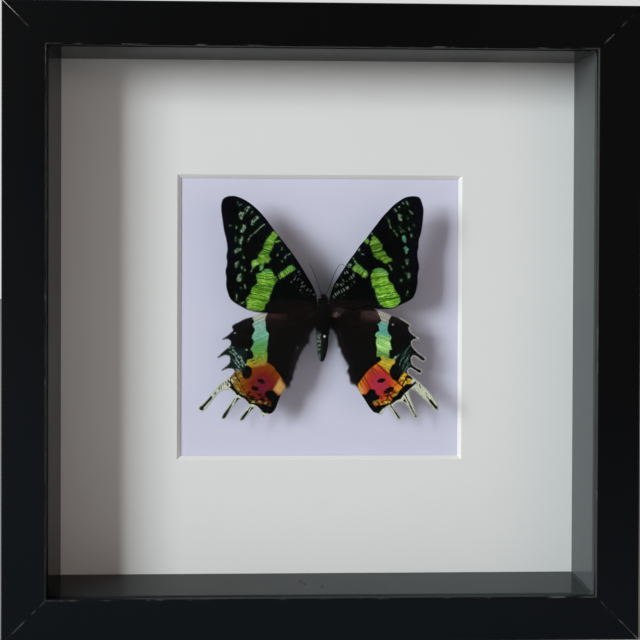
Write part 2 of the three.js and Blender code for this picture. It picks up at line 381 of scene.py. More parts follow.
def foilFinish():
    # satin black foil over fibreboard; the joints are scuffed, the inner edges show wear with a painted
    # highlight along the right rail's inner edge, and the rear is raw board
    f = Finish("frame_foil")
    x = f.place.axis("X")
    y = f.place.axis("Y")
    z = f.place.axis("Z") - midZ
    joint = abs(abs(x) - abs(z))
    scuff = joint.rise(0.00052, 0.0002) * f.noise(260.0, 4.0).rise(0.44, 0.66)
    reach = abs(x).higher(abs(z))
    inner = abs(reach - (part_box("rail_top")[0].z - midZ)).rise(0.0006, 0.00025)
    front = y.rise(frontY + 0.0012, frontY + 0.0006)
    # painted highlight: a steady pale line along the right rail's inner edge; the left rail's inner edge
    # gets chips of wear
    rubbedAndHighlit = x.rise(0.1, 0.104) * 0.26 + x.rise(-0.1, -0.104) * f.noise(90.0, 4.0).rise(0.30, 0.62) * 0.18
    chips = f.noise(150.0, 5.0).rise(0.52, 0.72) * 0.5
    worn = (scuff * 0.42 + inner * front * rubbedAndHighlit.higher(chips)).lower(1.0)
    dust = f.noise(2600.0, 2.0).rise(0.69, 0.76) * 0.35
    cloud = f.noise(14.0, 4.0)
    outside = reach.rise(foilIs["outsideFrom"] - 0.0007, foilIs["outsideFrom"])
    foil = f.mix(cloud, *foilIs["dark"])
    # painted light: the lower left of the front is drawn lighter, where the lamps fall on it
    foil = f.mix((z + x * 0.35).rise(0.06, -0.13) * 0.8, foil, foilIs["lit"])
    foil = f.mix(outside, foil, f.mix(cloud, *foilIs["outside"]))
    foil = f.mix(dust, foil, foilIs["dust"])
    foil = f.mix(worn, foil, foilIs["worn"])
    fibres = f.noise(900.0, 6.0, stretch=(1.0, 0.35, 1.0))
    board = f.mix(fibres, *foilIs["board"])
    rear = y.rise(-frontY - 0.0004, -frontY - 0.0002)
    colour = f.mix(rear, foil, board)
    rough = 0.36 + cloud * 0.06 + rear * 0.45 + worn * 0.2
    grain = f.noise(5200.0, 2.0) * 0.25 + f.noise(700.0, 2.0) * 0.35 + fibres * rear * 4.0
    return f.done(f.principled({
        "Base Color": colour, "Roughness": rough, "Specular IOR Level": 0.05,
        "Normal": f.bump(grain, 0.00006, 0.5),
    }))


spacerIs = {
    "board": ((0.019, 0.021, 0.0225), (0.029, 0.032, 0.034)),
    # tone of painted light on the right wall
    "rightWall": (0.094, 0.103, 0.109),
    # tones of a painted reflection of the mat along the bottom wall, lit at the right and in shade at the
    # left
    "bottomRight": (0.046, 0.055, 0.058),
    "bottomLeft": (0.003, 0.003, 0.003),
    "fleck": (0.10, 0.10, 0.10),
    "crumb": (0.004, 0.005, 0.005),
    # across, out from the mat, half width, half depth in millimetres
    "crumbs": [(-7.8, 13.2, 0.9, 2.4), (-6.4, 16.0, 0.75, 2.2), (0.7, 20.6, 0.75, 2.0)],
}


def spacerFinish():
    # smooth black card that mirrors the mat at a low angle; the right wall carries painted light, and the
    # bottom wall a painted reflection of the mat, lighter to the right and darker at its left end
    f = Finish("spacer_board")
    cloud = f.noise(30.0, 3.0)
    fleck = f.noise(1500.0, 2.0).rise(0.70, 0.78)
    x, z = f.place.axis("X"), f.place.axis("Z")
    onBottom = z.rise(0.06, 0.02)
    # painted light: the right wall is drawn lighter, where the lamps at the left fall on it
    rightWallLight = x.rise(0.1060, 0.1076) * (0.80 + z.rise(0.225, 0.20) * 0.20)
    board = f.mix(cloud, *spacerIs["board"])
    # painted reflection: the bottom wall is drawn lighter towards the right
    board = f.mix(x.rise(-0.10, 0.09) * onBottom, board, spacerIs["bottomRight"])
    board = f.mix(rightWallLight, board, spacerIs["rightWall"])
    # painted shade at the bottom wall's left end
    board = f.mix(x.rise(-0.085, -0.11) * onBottom * 0.85, board, spacerIs["bottomLeft"])
    out = (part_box("mat")[0].y - f.place.axis("Y")) * 1000
    for across, forward, wide, deep in spacerIs["crumbs"]:
        off = ((x * 1000 - across) / wide) ** 2 + ((out - forward) / deep) ** 2
        board = f.mix(off.rise(1.2, 0.2) * z.rise(0.03, 0.02) * 0.9, board, spacerIs["crumb"])
    colour = f.mix(fleck, board, spacerIs["fleck"])
    rough = 0.10 + cloud * 0.05
    return f.done(f.principled({
        "Base Color": colour, "Roughness": rough, "Specular IOR Level": 0.035,
        "Normal": f.bump(f.noise(3000.0, 2.0), 0.00002, 0.4),
    }))


def glassFinish():
    f = Finish("clear_glass")
    fresnel = f.node("ShaderNodeFresnel", {}, {"IOR": 1.5})
    clear = f.node("ShaderNodeBsdfTransparent", {}, {"Color": (0.995, 1.0, 0.997)})
    smear = f.noise(9.0, 4.0).rise(0.45, 0.75)
    gloss = f.principled({
        "Base Color": (0.9, 0.95, 0.93), "Metallic": 1.0, "Roughness": 0.015 + smear * 0.05,
    })
    return f.done(f.node("ShaderNodeMixShader", {}, {0: fresnel * 0.07, 1: clear, 2: gloss}))


def matFinish():
    # off-white board with a fine tooth; the cut bevel shows its whiter core
    f = Finish("mat_board")
    x = f.place.axis("X") - 0.0005
    z = f.place.axis("Z") - midZ
    cut = abs(x).higher(abs(z)).rise(0.06006, 0.05998)
    tooth = f.noise(2400.0, 5.0, rough=0.65)
    cloud = f.noise(9.0, 3.0)
    face = f.mix(cloud, (0.705, 0.716, 0.728), (0.730, 0.743, 0.756))
    face = f.mix(tooth.rise(0.30, 0.70) * 0.05, face, (0.45, 0.44, 0.42))
    colour = f.mix(cut, face, (0.80, 0.80, 0.79))
    return f.done(f.principled({
        "Base Color": colour, "Roughness": 0.88 + tooth * 0.1, "Specular IOR Level": 0.15,
        "Normal": f.bump(tooth + f.noise(500.0, 3.0) * 0.6, 0.00005, 0.35),
    }))


def cardFinish():
    f = Finish("lilac_card")
    tooth = f.noise(3000.0, 4.0, rough=0.6)
    cloud = f.noise(16.0, 3.0)
    face = f.mix(cloud, (0.585, 0.590, 0.745), (0.618, 0.624, 0.778))
    colour = f.mix(tooth.rise(0.35, 0.75) * 0.05, face, (0.45, 0.46, 0.60))
    return f.done(f.principled({
        "Base Color": colour, "Roughness": 0.86 + tooth * 0.1, "Specular IOR Level": 0.15,
        "Normal": f.bump(tooth, 0.00004, 0.3),
    }))


def panelFinish():
    # hardboard: pressed fibres, darker in clouds
    f = Finish("hardboard")
    fibres = f.noise(420.0, 7.0, rough=0.7, stretch=(1.0, 1.0, 0.4))
    speck = f.cells(900.0, (1.0, 1.0, 0.35)).rise(0.12, 0.35)
    cloud = f.noise(18.0, 4.0)
    colour = f.mix(fibres, (0.085, 0.045, 0.024), (0.27, 0.155, 0.085))
    colour = f.mix(cloud * 0.4, colour, (0.12, 0.066, 0.036))
    colour = f.mix((1.0 - speck) * 0.35, colour, (0.05, 0.028, 0.016))
    return f.done(f.principled({
        "Base Color": colour, "Roughness": 0.62 + fibres * 0.25, "Specular IOR Level": 0.3,
        "Normal": f.bump(fibres + speck * 0.3, 0.00012, 0.6),
    }))


def steelFinish(name, tone=0.42):
    # rolled strip with fine drawing lines and dull spots
    f = Finish(name)
    drawn = f.noise(1800.0, 3.0, stretch=(0.06, 1.0, 1.0))
    dull = f.noise(160.0, 4.0)
    colour = f.mix(dull, (tone, tone * 0.99, tone * 0.96), (tone * 1.35, tone * 1.35, tone * 1.33))
    rough = 0.26 + drawn * 0.12 + dull.rise(0.5, 0.75) * 0.18
    return f.done(f.principled({
        "Base Color": colour, "Roughness": rough, "Metallic": 1.0,
        "Normal": f.bump(drawn, 0.00002, 0.5),
    }))


def floorFinish():
    f = Finish("studio_floor")
    cloud = f.noise(1.6, 2.0)
    tone = studio["floorColour"]
    colour = f.mix(cloud, tone, tuple(c * 1.04 for c in tone))
    return f.done(f.principled({"Base Color": colour, "Roughness": 0.92}))


foil = foilFinish()
steel = steelFinish("steel")
print("frame finishes ready")


bpy.ops.object.select_all(action="DESELECT")
bpy.ops.mesh.primitive_plane_add(size=2 * studio["floorHalf"], location=(0, 0, 0))
floor = settle(newest("studio_floor"), floorFinish())


railIs = {
    "arris": 0.35,  # rounding of the long edges
    "arrisSteps": 3,
    "tabWidth": 12.6,
    "tabOffset": 60.0,
    "slotHeight": 1.1,
    "slotDepth": 2.3,
    "room": 0.3,  # between a rail and what lies in it
    "mitreGap": 0.2,
}


def buildRail():
    low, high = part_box("rail_top")
    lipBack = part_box("glass_pane")[0].y - railIs["room"] * mm
    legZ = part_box("glass_pane")[1].z + railIs["room"] * mm
    middle = Vector((0, (low.y + lipBack) / 2, (low.z + high.z) / 2))
    tidySelection()
    bpy.ops.mesh.primitive_cube_add(size=1, location=middle)
    rail = newest("rail_top_piece")
    rail.scale = (high.x - low.x, lipBack - low.y, high.z - low.z)
    settle(rail)
    bpy.context.view_layer.objects.active = rail
    bpy.ops.object.mode_set(mode="EDIT")
    bpy.ops.mesh.select_all(action="SELECT")
    bpy.ops.mesh.bisect(plane_co=(0, 0, legZ), plane_no=(0, 0, 1))
    pickFaces(rail, lambda c, n: n.y > 0.9 and c.z > legZ)
    bpy.ops.mesh.extrude_region_move(TRANSFORM_OT_translate={"value": (0, high.y - lipBack, 0)})
    inset = railIs["mitreGap"] / 2 * mm
    for side in (-1, 1):  # mitres
        bpy.ops.mesh.select_all(action="SELECT")
        bpy.ops.mesh.bisect(
            plane_co=(side * (high.z - midZ) - side * inset, 0, high.z),
            plane_no=(side, 0, -1), use_fill=True, clear_outer=True)
    alongX = lambda a, b: abs(a.y - b.y) < 1e-6 and abs(a.z - b.z) < 1e-6 and abs(a.x - b.x) > 0.1
    pickEdges(rail, alongX)
    bpy.ops.mesh.bevel(offset=railIs["arris"] * mm, segments=railIs["arrisSteps"], affect="EDGES")
    bpy.ops.object.mode_set(mode="OBJECT")
    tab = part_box("tab_top_1")
    for side in (-1, 1):  # slots that hold the tabs
        tidySelection()
        slotMiddle = (side * railIs["tabOffset"] * mm, (tab[0].y + tab[1].y) / 2, legZ)
        bpy.ops.mesh.primitive_cube_add(size=1, location=slotMiddle)
        cutter = newest("slot_cutter")
        cutter.scale = (railIs["tabWidth"] * mm, railIs["slotHeight"] * mm, 2 * railIs["slotDepth"] * mm)
        settle(cutter)
        applyModifier(rail, "BOOLEAN", operation="DIFFERENCE", object=cutter, solver="EXACT")
        bpy.data.objects.remove(cutter)
    settle(rail, foil, 40)
    applyModifier(rail, "WEIGHTED_NORMAL", keep_sharp=True, weight=100)
    return rail


topRail = buildRail()
standsFor(topRail, "frame_foil", "rail_top")
middle = Matrix.Translation((0, 0, midZ))
for quarter, side in enumerate(("right", "bottom", "left"), start=1):
    rail = topRail.copy()
    rail.data = topRail.data.copy()
    rail.name = rail.data.name = f"rail_{side}_piece"
    rail.data.transform(middle @ Matrix.Rotation(quarter * math.pi / 2, 4, "Y") @ middle.inverted())
    bpy.context.scene.collection.objects.link(rail)
    standsFor(rail, "frame_foil", f"rail_{side}")
print("rails ready")


nodeFinish = {  # nodes that are shown as they are
    "glass_pane": glassFinish(),
    "mat": matFinish(),
    "mount_card": cardFinish(),
    "back_panel": panelFinish(),
    "hanger": steel,
    "rivet_left": steel,
    "rivet_right": steel,
}
spacer = spacerFinish()
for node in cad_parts:
    if node.startswith("spacer_"):
        nodeFinish[node] = spacer
    elif node.startswith("tab_"):
        nodeFinish[node] = steel
for node, finish in nodeFinish.items():
    data = bpy.data.objects[node].data
    data.materials.clear()
    data.materials.append(finish)
print("sheets ready")


# the moth's outlines and markings: points across and along from the middle of its body
foreLeftEdge = [
    (-2.4, 8.6), (-4.1, 13.5), (-6.8, 18.1), (-9.9, 23.1), (-13.1, 27.7), (-16.2, 31.7), (-18.9, 35.0),
    (-21.2, 38.0), (-24.3, 42.0), (-26.9, 44.8), (-29.6, 47.1), (-32.7, 49.0), (-34.9, 49.9),
    (-36.8, 50.3), (-39.1, 49.9), (-40.8, 48.9), (-41.5, 46.6), (-41.5, 43.9), (-41.0, 40.5),
    (-40.5, 36.7), (-39.6, 33.0), (-39.0, 28.8), (-39.4, 25.8), (-39.1, 22.7), (-39.8, 19.9),
    (-39.4, 17.0), (-39.5, 14.0), (-39.0, 11.7), (-37.8, 8.7), (-36.3, 7.2), (-34.0, 5.8), (-31.8, 4.6),
    (-28.7, 3.5), (-25.3, 3.0), (-22.6, 2.9), (-17.5, 2.8), (-12.0, 3.0), (-7.0, 3.3), (-2.6, 3.4),
]
foreRightEdge = [
    (2.6, 3.2), (8.0, 3.9), (14.0, 4.2), (22.8, 4.5), (25.4, 4.5), (27.7, 4.7), (29.9, 5.5),
    (32.2, 6.7), (34.4, 7.8), (36.3, 9.2), (37.2, 11.1), (37.8, 13.4), (38.1, 15.7), (38.1, 18.4),
    (38.6, 21.0), (38.6, 22.6), (38.1, 25.2), (38.0, 27.9), (38.4, 29.8), (38.5, 32.5), (39.3, 35.2),
    (39.9, 39.0), (40.2, 42.4), (40.3, 45.1), (39.8, 47.3), (38.9, 49.6), (37.6, 50.4), (35.7, 50.5),
    (33.1, 50.0), (30.9, 48.7), (28.6, 47.0), (26.4, 44.7), (24.1, 42.2), (21.9, 39.3), (19.6, 36.3),
    (17.4, 33.2), (15.1, 30.5), (13.3, 27.8), (10.6, 24.1), (8.3, 20.5), (6.1, 17.0), (4.4, 13.9),
    (3.4, 10.8), (2.6, 8.0),
]
hindLeftEdge = [
    (-2.6, 2.4), (-12.0, 3.8), (-20.0, 4.0), (-23.6, 3.2), (-26.1, 2.0), (-28.9, 0.9), (-32.1, -0.2),
    (-34.9, -1.6), (-37.3, -3.1), (-36.9, -4.7), (-38.8, -6.7), (-41.2, -8.5), (-38.8, -8.4),
    (-37.8, -9.4), (-38.0, -11.0), (-40.2, -13.0), (-43.2, -16.1), (-39.9, -14.9), (-38.3, -15.5),
    (-38.0, -17.1), (-38.3, -18.3), (-39.8, -19.7), (-41.6, -21.4), (-38.8, -20.4), (-36.8, -20.7),
    (-36.1, -21.7), (-37.0, -23.1), (-38.8, -24.7), (-40.9, -26.3), (-42.7, -27.9), (-46.2, -32.0),
    (-48.3, -34.5), (-50.2, -36.1), (-50.7, -37.0), (-49.9, -37.8), (-48.3, -37.3), (-46.9, -35.5),
    (-44.4, -32.0), (-41.9, -29.6), (-39.8, -29.0), (-38.0, -29.1), (-36.3, -30.2), (-35.6, -31.6),
    (-36.6, -33.6), (-38.7, -36.6), (-41.0, -39.8), (-41.3, -41.1), (-40.4, -41.1), (-38.7, -38.7),
    (-36.3, -35.2), (-34.5, -33.2), (-32.7, -32.7), (-31.3, -33.9), (-30.1, -35.5), (-31.1, -37.1),
    (-32.9, -39.8), (-33.9, -41.9), (-33.0, -41.8), (-31.1, -39.6), (-29.1, -37.5), (-27.6, -36.4),
    (-26.0, -36.9), (-25.2, -38.4), (-24.0, -40.2), (-22.6, -39.5), (-20.8, -38.9), (-19.4, -37.3),
    (-18.3, -34.5), (-17.1, -31.5), (-15.7, -29.0), (-14.6, -26.8), (-13.4, -24.7), (-12.7, -21.9),
    (-11.8, -18.7), (-10.4, -15.1), (-8.6, -11.9), (-6.7, -9.4), (-5.4, -5.1), (-4.4, -3.3),
    (-2.6, -1.8),
]
hindRightEdge = [
    (2.6, -1.4), (3.8, -1.9), (4.9, -3.7), (6.3, -5.8), (7.1, -9.4), (8.5, -13.0), (9.6, -15.5),
    (11.4, -18.3), (11.6, -22.2), (12.5, -25.6), (13.9, -26.7), (14.6, -28.7), (16.1, -31.2),
    (17.5, -33.3), (19.3, -36.2), (21.5, -38.7), (22.9, -39.0), (24.0, -39.6), (25.4, -37.9),
    (26.7, -36.2), (27.9, -36.9), (29.7, -39.0), (31.6, -41.4), (32.4, -41.2), (30.6, -38.3),
    (29.3, -36.3), (30.1, -35.1), (31.8, -34.3), (34.0, -34.4), (35.4, -35.8), (36.9, -38.0),
    (38.5, -40.8), (39.4, -40.7), (38.3, -37.6), (37.2, -34.8), (36.1, -32.2), (35.8, -30.1),
    (36.8, -29.0), (38.6, -29.4), (41.2, -31.9), (44.4, -34.8), (46.6, -37.1), (47.8, -37.8),
    (48.0, -36.2), (46.2, -33.0), (44.4, -30.5), (41.1, -27.2), (39.0, -25.5), (37.2, -24.0),
    (35.7, -22.8), (35.3, -21.3), (36.4, -20.3), (38.2, -21.3), (40.6, -22.6), (41.1, -21.2),
    (39.3, -20.3), (37.3, -18.7), (36.9, -16.2), (37.7, -15.2), (39.3, -15.8), (42.0, -17.5),
    (42.7, -16.5), (39.3, -13.7), (37.2, -11.1), (36.9, -9.7), (37.7, -8.6), (40.0, -8.3), (38.0, -6.8),
    (36.3, -5.2), (35.8, -3.5), (36.6, -3.0), (33.9, -0.8), (31.0, 0.6), (28.5, 1.5), (24.3, 3.2),
    (21.0, 4.2), (12.0, 4.3), (2.6, 2.6),
]


def oval(u, v, wide, tall, turn=0.0, count=14):
    # a closed ring of points round (u, v), turned anticlockwise in degrees
    cos, sin = math.cos(math.radians(turn)), math.sin(math.radians(turn))
    steps = np.linspace(0, 2 * math.pi, count, endpoint=False)
    ring = [(wide * math.cos(t), tall * math.sin(t)) for t in steps]
    return [(u + a * cos - b * sin, v + a * sin + b * cos) for a, b in ring]


def strokes(halfWidth, *lines):
    return [(halfWidth, line) for line in lines]


# a mark is closed areas and strokes of a half width
foreLeftMarks = {
    "lime": (
        [
            [(-20.3, 36.0), (-18.9, 35.0), (-18.8, 34.0), (-19.8, 32.5), (-20.4, 30.8), (-21.1, 28.8),
             (-22.3, 26.9), (-22.3, 25.8), (-21.7, 24.7), (-22.6, 23.1), (-24.0, 23.4), (-24.9, 21.8),
             (-25.9, 22.9), (-27.4, 22.5), (-28.7, 21.0), (-29.2, 21.8), (-28.9, 23.9), (-26.8, 24.8),
             (-26.4, 26.9), (-24.8, 28.3), (-24.4, 30.4), (-23.2, 32.7), (-21.7, 34.6)],
            [(-25.8, 22.0), (-24.6, 21.8), (-24.9, 20.2), (-25.9, 20.1)],
            [(-23.6, 20.6), (-22.1, 20.7), (-20.9, 19.5), (-20.1, 18.1), (-19.2, 17.4), (-18.4, 16.2),
             (-19.5, 14.7), (-20.6, 13.3), (-21.1, 11.4), (-22.0, 9.7), (-22.3, 7.4), (-23.7, 6.3),
             (-24.3, 4.0), (-26.4, 3.6), (-29.4, 3.9), (-31.3, 5.2), (-31.2, 6.9), (-31.7, 8.5),
             (-29.8, 10.5), (-29.1, 13.2), (-26.8, 14.9), (-27.2, 17.0), (-27.4, 18.3), (-25.5, 19.3),
             (-24.3, 20.2)],
            [(-18.4, 18.3), (-17.2, 19.5), (-15.3, 20.8), (-13.0, 22.5), (-11.7, 21.6), (-11.3, 20.4),
             (-13.4, 19.3), (-15.7, 17.7), (-17.8, 16.4), (-18.3, 17.0)],
        ],
        strokes(0.35, [(-19.8, 31.7), (-18.3, 32.2)]),
    ),
    "pale": (
        [
            [(-30.5, 46.3), (-30.1, 45.6), (-31.3, 44.0), (-32.3, 44.6), (-31.8, 45.7)],
            [(-33.9, 43.8), (-31.8, 43.6), (-32.0, 42.9), (-33.0, 42.1), (-33.4, 40.6), (-34.3, 41.3),
             (-34.5, 42.9)],
            [(-33.0, 38.7), (-31.5, 38.5), (-32.0, 36.8), (-32.4, 35.5), (-34.0, 35.5), (-33.8, 36.8),
             (-33.0, 37.6)],
            [(-33.3, 34.3), (-32.9, 33.8), (-33.1, 31.8), (-33.7, 30.5), (-34.6, 31.8), (-34.7, 32.6),
             (-33.9, 33.0)],
            [(-33.6, 29.4), (-33.9, 28.0), (-34.8, 27.7), (-35.8, 26.9), (-36.3, 27.9), (-35.4, 29.0),
             (-34.5, 29.0)],
            [(-34.8, 23.9), (-34.4, 23.1), (-34.8, 22.2), (-35.6, 21.2), (-36.1, 22.2), (-36.1, 23.1),
             (-35.4, 23.3)],
            [(-33.7, 18.9), (-33.1, 17.4), (-34.0, 15.1), (-35.4, 16.1), (-34.6, 18.4)],
            [(-26.9, 42.4), (-26.3, 42.0), (-26.9, 40.8), (-27.8, 40.3), (-28.8, 38.5), (-29.7, 38.7),
             (-29.4, 40.2), (-28.2, 41.4)],
            oval(-15.6, 25.6, 0.35, 0.8, -20), oval(-38.0, 38.2, 0.45, 0.35),
        ],
        strokes(0.17, [(-24.4, 38.8), (-27.4, 36.1), (-30.1, 33.8)], [(-30.5, 33.0), (-31.0, 31.9)],
                [(-29.0, 44.0), (-29.9, 43.1)], [(-35.1, 47.8), (-34.5, 46.6), (-33.3, 46.9)],
                [(-35.5, 37.9), (-35.6, 36.8)], [(-35.8, 33.7), (-35.9, 32.2)],
                [(-32.9, 26.5), (-32.5, 25.2)], [(-33.2, 21.8), (-33.3, 20.8)],
                [(-32.2, 21.0), (-32.1, 20.1)], [(-32.2, 14.4), (-31.9, 12.8)],
                [(-33.6, 13.0), (-33.8, 12.3)], [(-35.6, 11.1), (-35.3, 9.8), (-35.5, 8.1)],
                [(-18.3, 32.2), (-17.2, 32.0)], [(-16.9, 29.4), (-17.1, 28.7)],
                [(-18.6, 26.9), (-18.8, 26.2)], [(-15.2, 26.2), (-13.6, 26.8)],
                [(-16.7, 24.3), (-16.9, 23.7)], [(-28.9, 21.2), (-29.4, 19.7)],
                [(-32.3, 7.6), (-33.2, 6.2)], [(-33.1, 7.0), (-33.8, 6.1)],
                [(-13.2, 15.4), (-12.8, 15.0)]),
    ),
    "field": (
        [
            [(-14.0, 18.0), (-9.6, 20.6), (-3.2, 9.8), (-7.6, 8.6)],
        ],
        [],
    ),
    "seam": (
        [],
        strokes(0.22, [(-29.9, 14.2), (-25.0, 13.7), (-20.6, 13.9)],
                [(-31.6, 8.2), (-27.0, 8.3), (-22.4, 7.9)],
                [(-27.3, 17.0), (-22.8, 16.4), (-19.0, 17.0)],
                [(-26.6, 26.9), (-24.3, 26.6), (-22.4, 27.2)], [(-25.0, 30.2), (-21.0, 30.6)]),
    ),
    "teal": ([], []),
}
foreRightMarks = {
    "lime": (
        [
            [(20.4, 34.5), (21.7, 33.6), (23.1, 31.7), (24.0, 30.5), (23.8, 29.0), (25.3, 27.5),
             (25.9, 25.9), (28.0, 24.9), (27.8, 24.0), (26.7, 23.8), (25.9, 23.1), (24.6, 23.4),
             (23.8, 24.4), (22.3, 25.0), (20.8, 25.9), (20.3, 27.4), (19.7, 29.4), (18.9, 30.5),
             (19.3, 32.0), (19.9, 33.6)],
            [(17.2, 33.4), (18.2, 33.2), (18.7, 32.2), (18.0, 31.1), (16.8, 32.0)],
            [(21.2, 20.9), (22.4, 21.3), (23.9, 21.1), (25.2, 20.2), (26.3, 19.0), (26.3, 17.1),
             (26.9, 15.6), (28.2, 14.7), (28.6, 13.7), (28.8, 12.4), (29.9, 11.0), (31.0, 9.5),
             (31.2, 8.0), (30.7, 6.5), (29.2, 5.3), (26.9, 4.9), (24.7, 5.3), (23.4, 6.4), (22.4, 7.9),
             (21.6, 10.2), (21.3, 12.1), (19.9, 13.6), (19.4, 15.9), (19.2, 18.2), (20.3, 19.8)],
            [(14.0, 22.6), (15.2, 22.2), (16.3, 20.9), (17.8, 19.8), (18.4, 18.4), (17.5, 17.1),
             (16.3, 17.4), (14.8, 18.8), (12.9, 19.7), (11.8, 20.7), (12.2, 21.6)],
        ],
        strokes(0.3, [(12.8, 24.0), (13.9, 22.6)]),
    ),
    "pale": (
        [
            [(28.6, 45.5), (29.4, 45.3), (29.8, 44.3), (29.2, 44.1)],
            [(30.1, 43.2), (31.5, 43.2), (32.0, 40.9), (31.3, 39.9), (30.5, 41.3)],
            [(33.2, 24.8), (34.7, 24.8), (34.5, 23.3), (34.0, 22.2), (33.4, 23.3)],
            [(33.4, 19.5), (35.3, 18.9), (35.3, 17.8), (34.4, 16.8), (34.0, 18.2)],
            oval(19.7, 35.4, 0.35, 0.7, 20), oval(10.8, 22.2, 0.9, 0.6, 40), oval(14.7, 28.5, 0.6, 0.5),
            oval(16.4, 26.7, 0.45, 0.35), oval(25.8, 42.0, 0.5, 0.4), oval(31.6, 16.2, 0.35, 0.5),
        ],
        strokes(0.19, [(30.9, 38.2), (31.9, 36.7), (33.0, 36.3)], [(31.3, 36.7), (31.6, 35.9)],
                [(33.5, 48.5), (34.4, 46.8)], [(30.5, 46.2), (30.9, 46.0)],
                [(32.1, 47.8), (32.5, 47.4)], [(35.0, 44.5), (36.0, 43.3)],
                [(34.1, 41.8), (34.2, 41.3)], [(36.6, 38.8), (36.7, 38.3)],
                [(34.5, 38.2), (34.8, 36.7)], [(35.5, 35.1), (35.7, 34.0)],
                [(26.1, 41.4), (26.6, 40.3), (27.4, 37.6)], [(28.6, 36.7), (29.9, 34.6)],
                [(26.8, 22.5), (27.8, 20.4)], [(32.3, 21.8), (32.4, 21.4)],
                [(34.2, 11.8), (33.7, 10.3)], [(15.7, 27.2), (15.9, 26.7)],
                [(12.3, 25.2), (12.7, 24.6)], [(12.4, 24.9), (13.5, 23.4)], [(10.4, 22.6), (11.4, 21.4)]),
    ),
    "field": (
        [
            [(3.8, 9.0), (4.6, 12.8), (9.4, 20.6), (13.6, 18.4), (13.0, 15.4), (8.6, 9.6), (5.4, 7.2)],
        ],
        [],
    ),
    "teal": (
        [
            [(31.7, 34.0), (33.0, 34.6), (33.4, 33.4), (33.9, 32.3), (33.2, 31.3), (32.3, 32.1)],
            [(32.3, 29.4), (33.4, 30.0), (34.7, 29.0), (34.3, 27.9), (33.4, 26.9), (33.0, 28.3)],
        ],
        [],
    ),
    "seam": (
        [],
        strokes(0.27, [(20.0, 13.4), (24.0, 13.9), (28.4, 14.8)],
                [(21.5, 10.4), (26.0, 10.7), (30.0, 11.3)], [(22.4, 8.4), (26.0, 8.6), (31.2, 9.3)],
                [(19.3, 16.6), (22.5, 17.1), (26.4, 18.1)], [(19.2, 30.2), (21.0, 30.6), (23.9, 31.3)],
                [(20.4, 27.2), (22.5, 28.0), (24.9, 28.6)], [(22.4, 25.2), (24.0, 26.2), (25.6, 26.3)]),
    ),
}
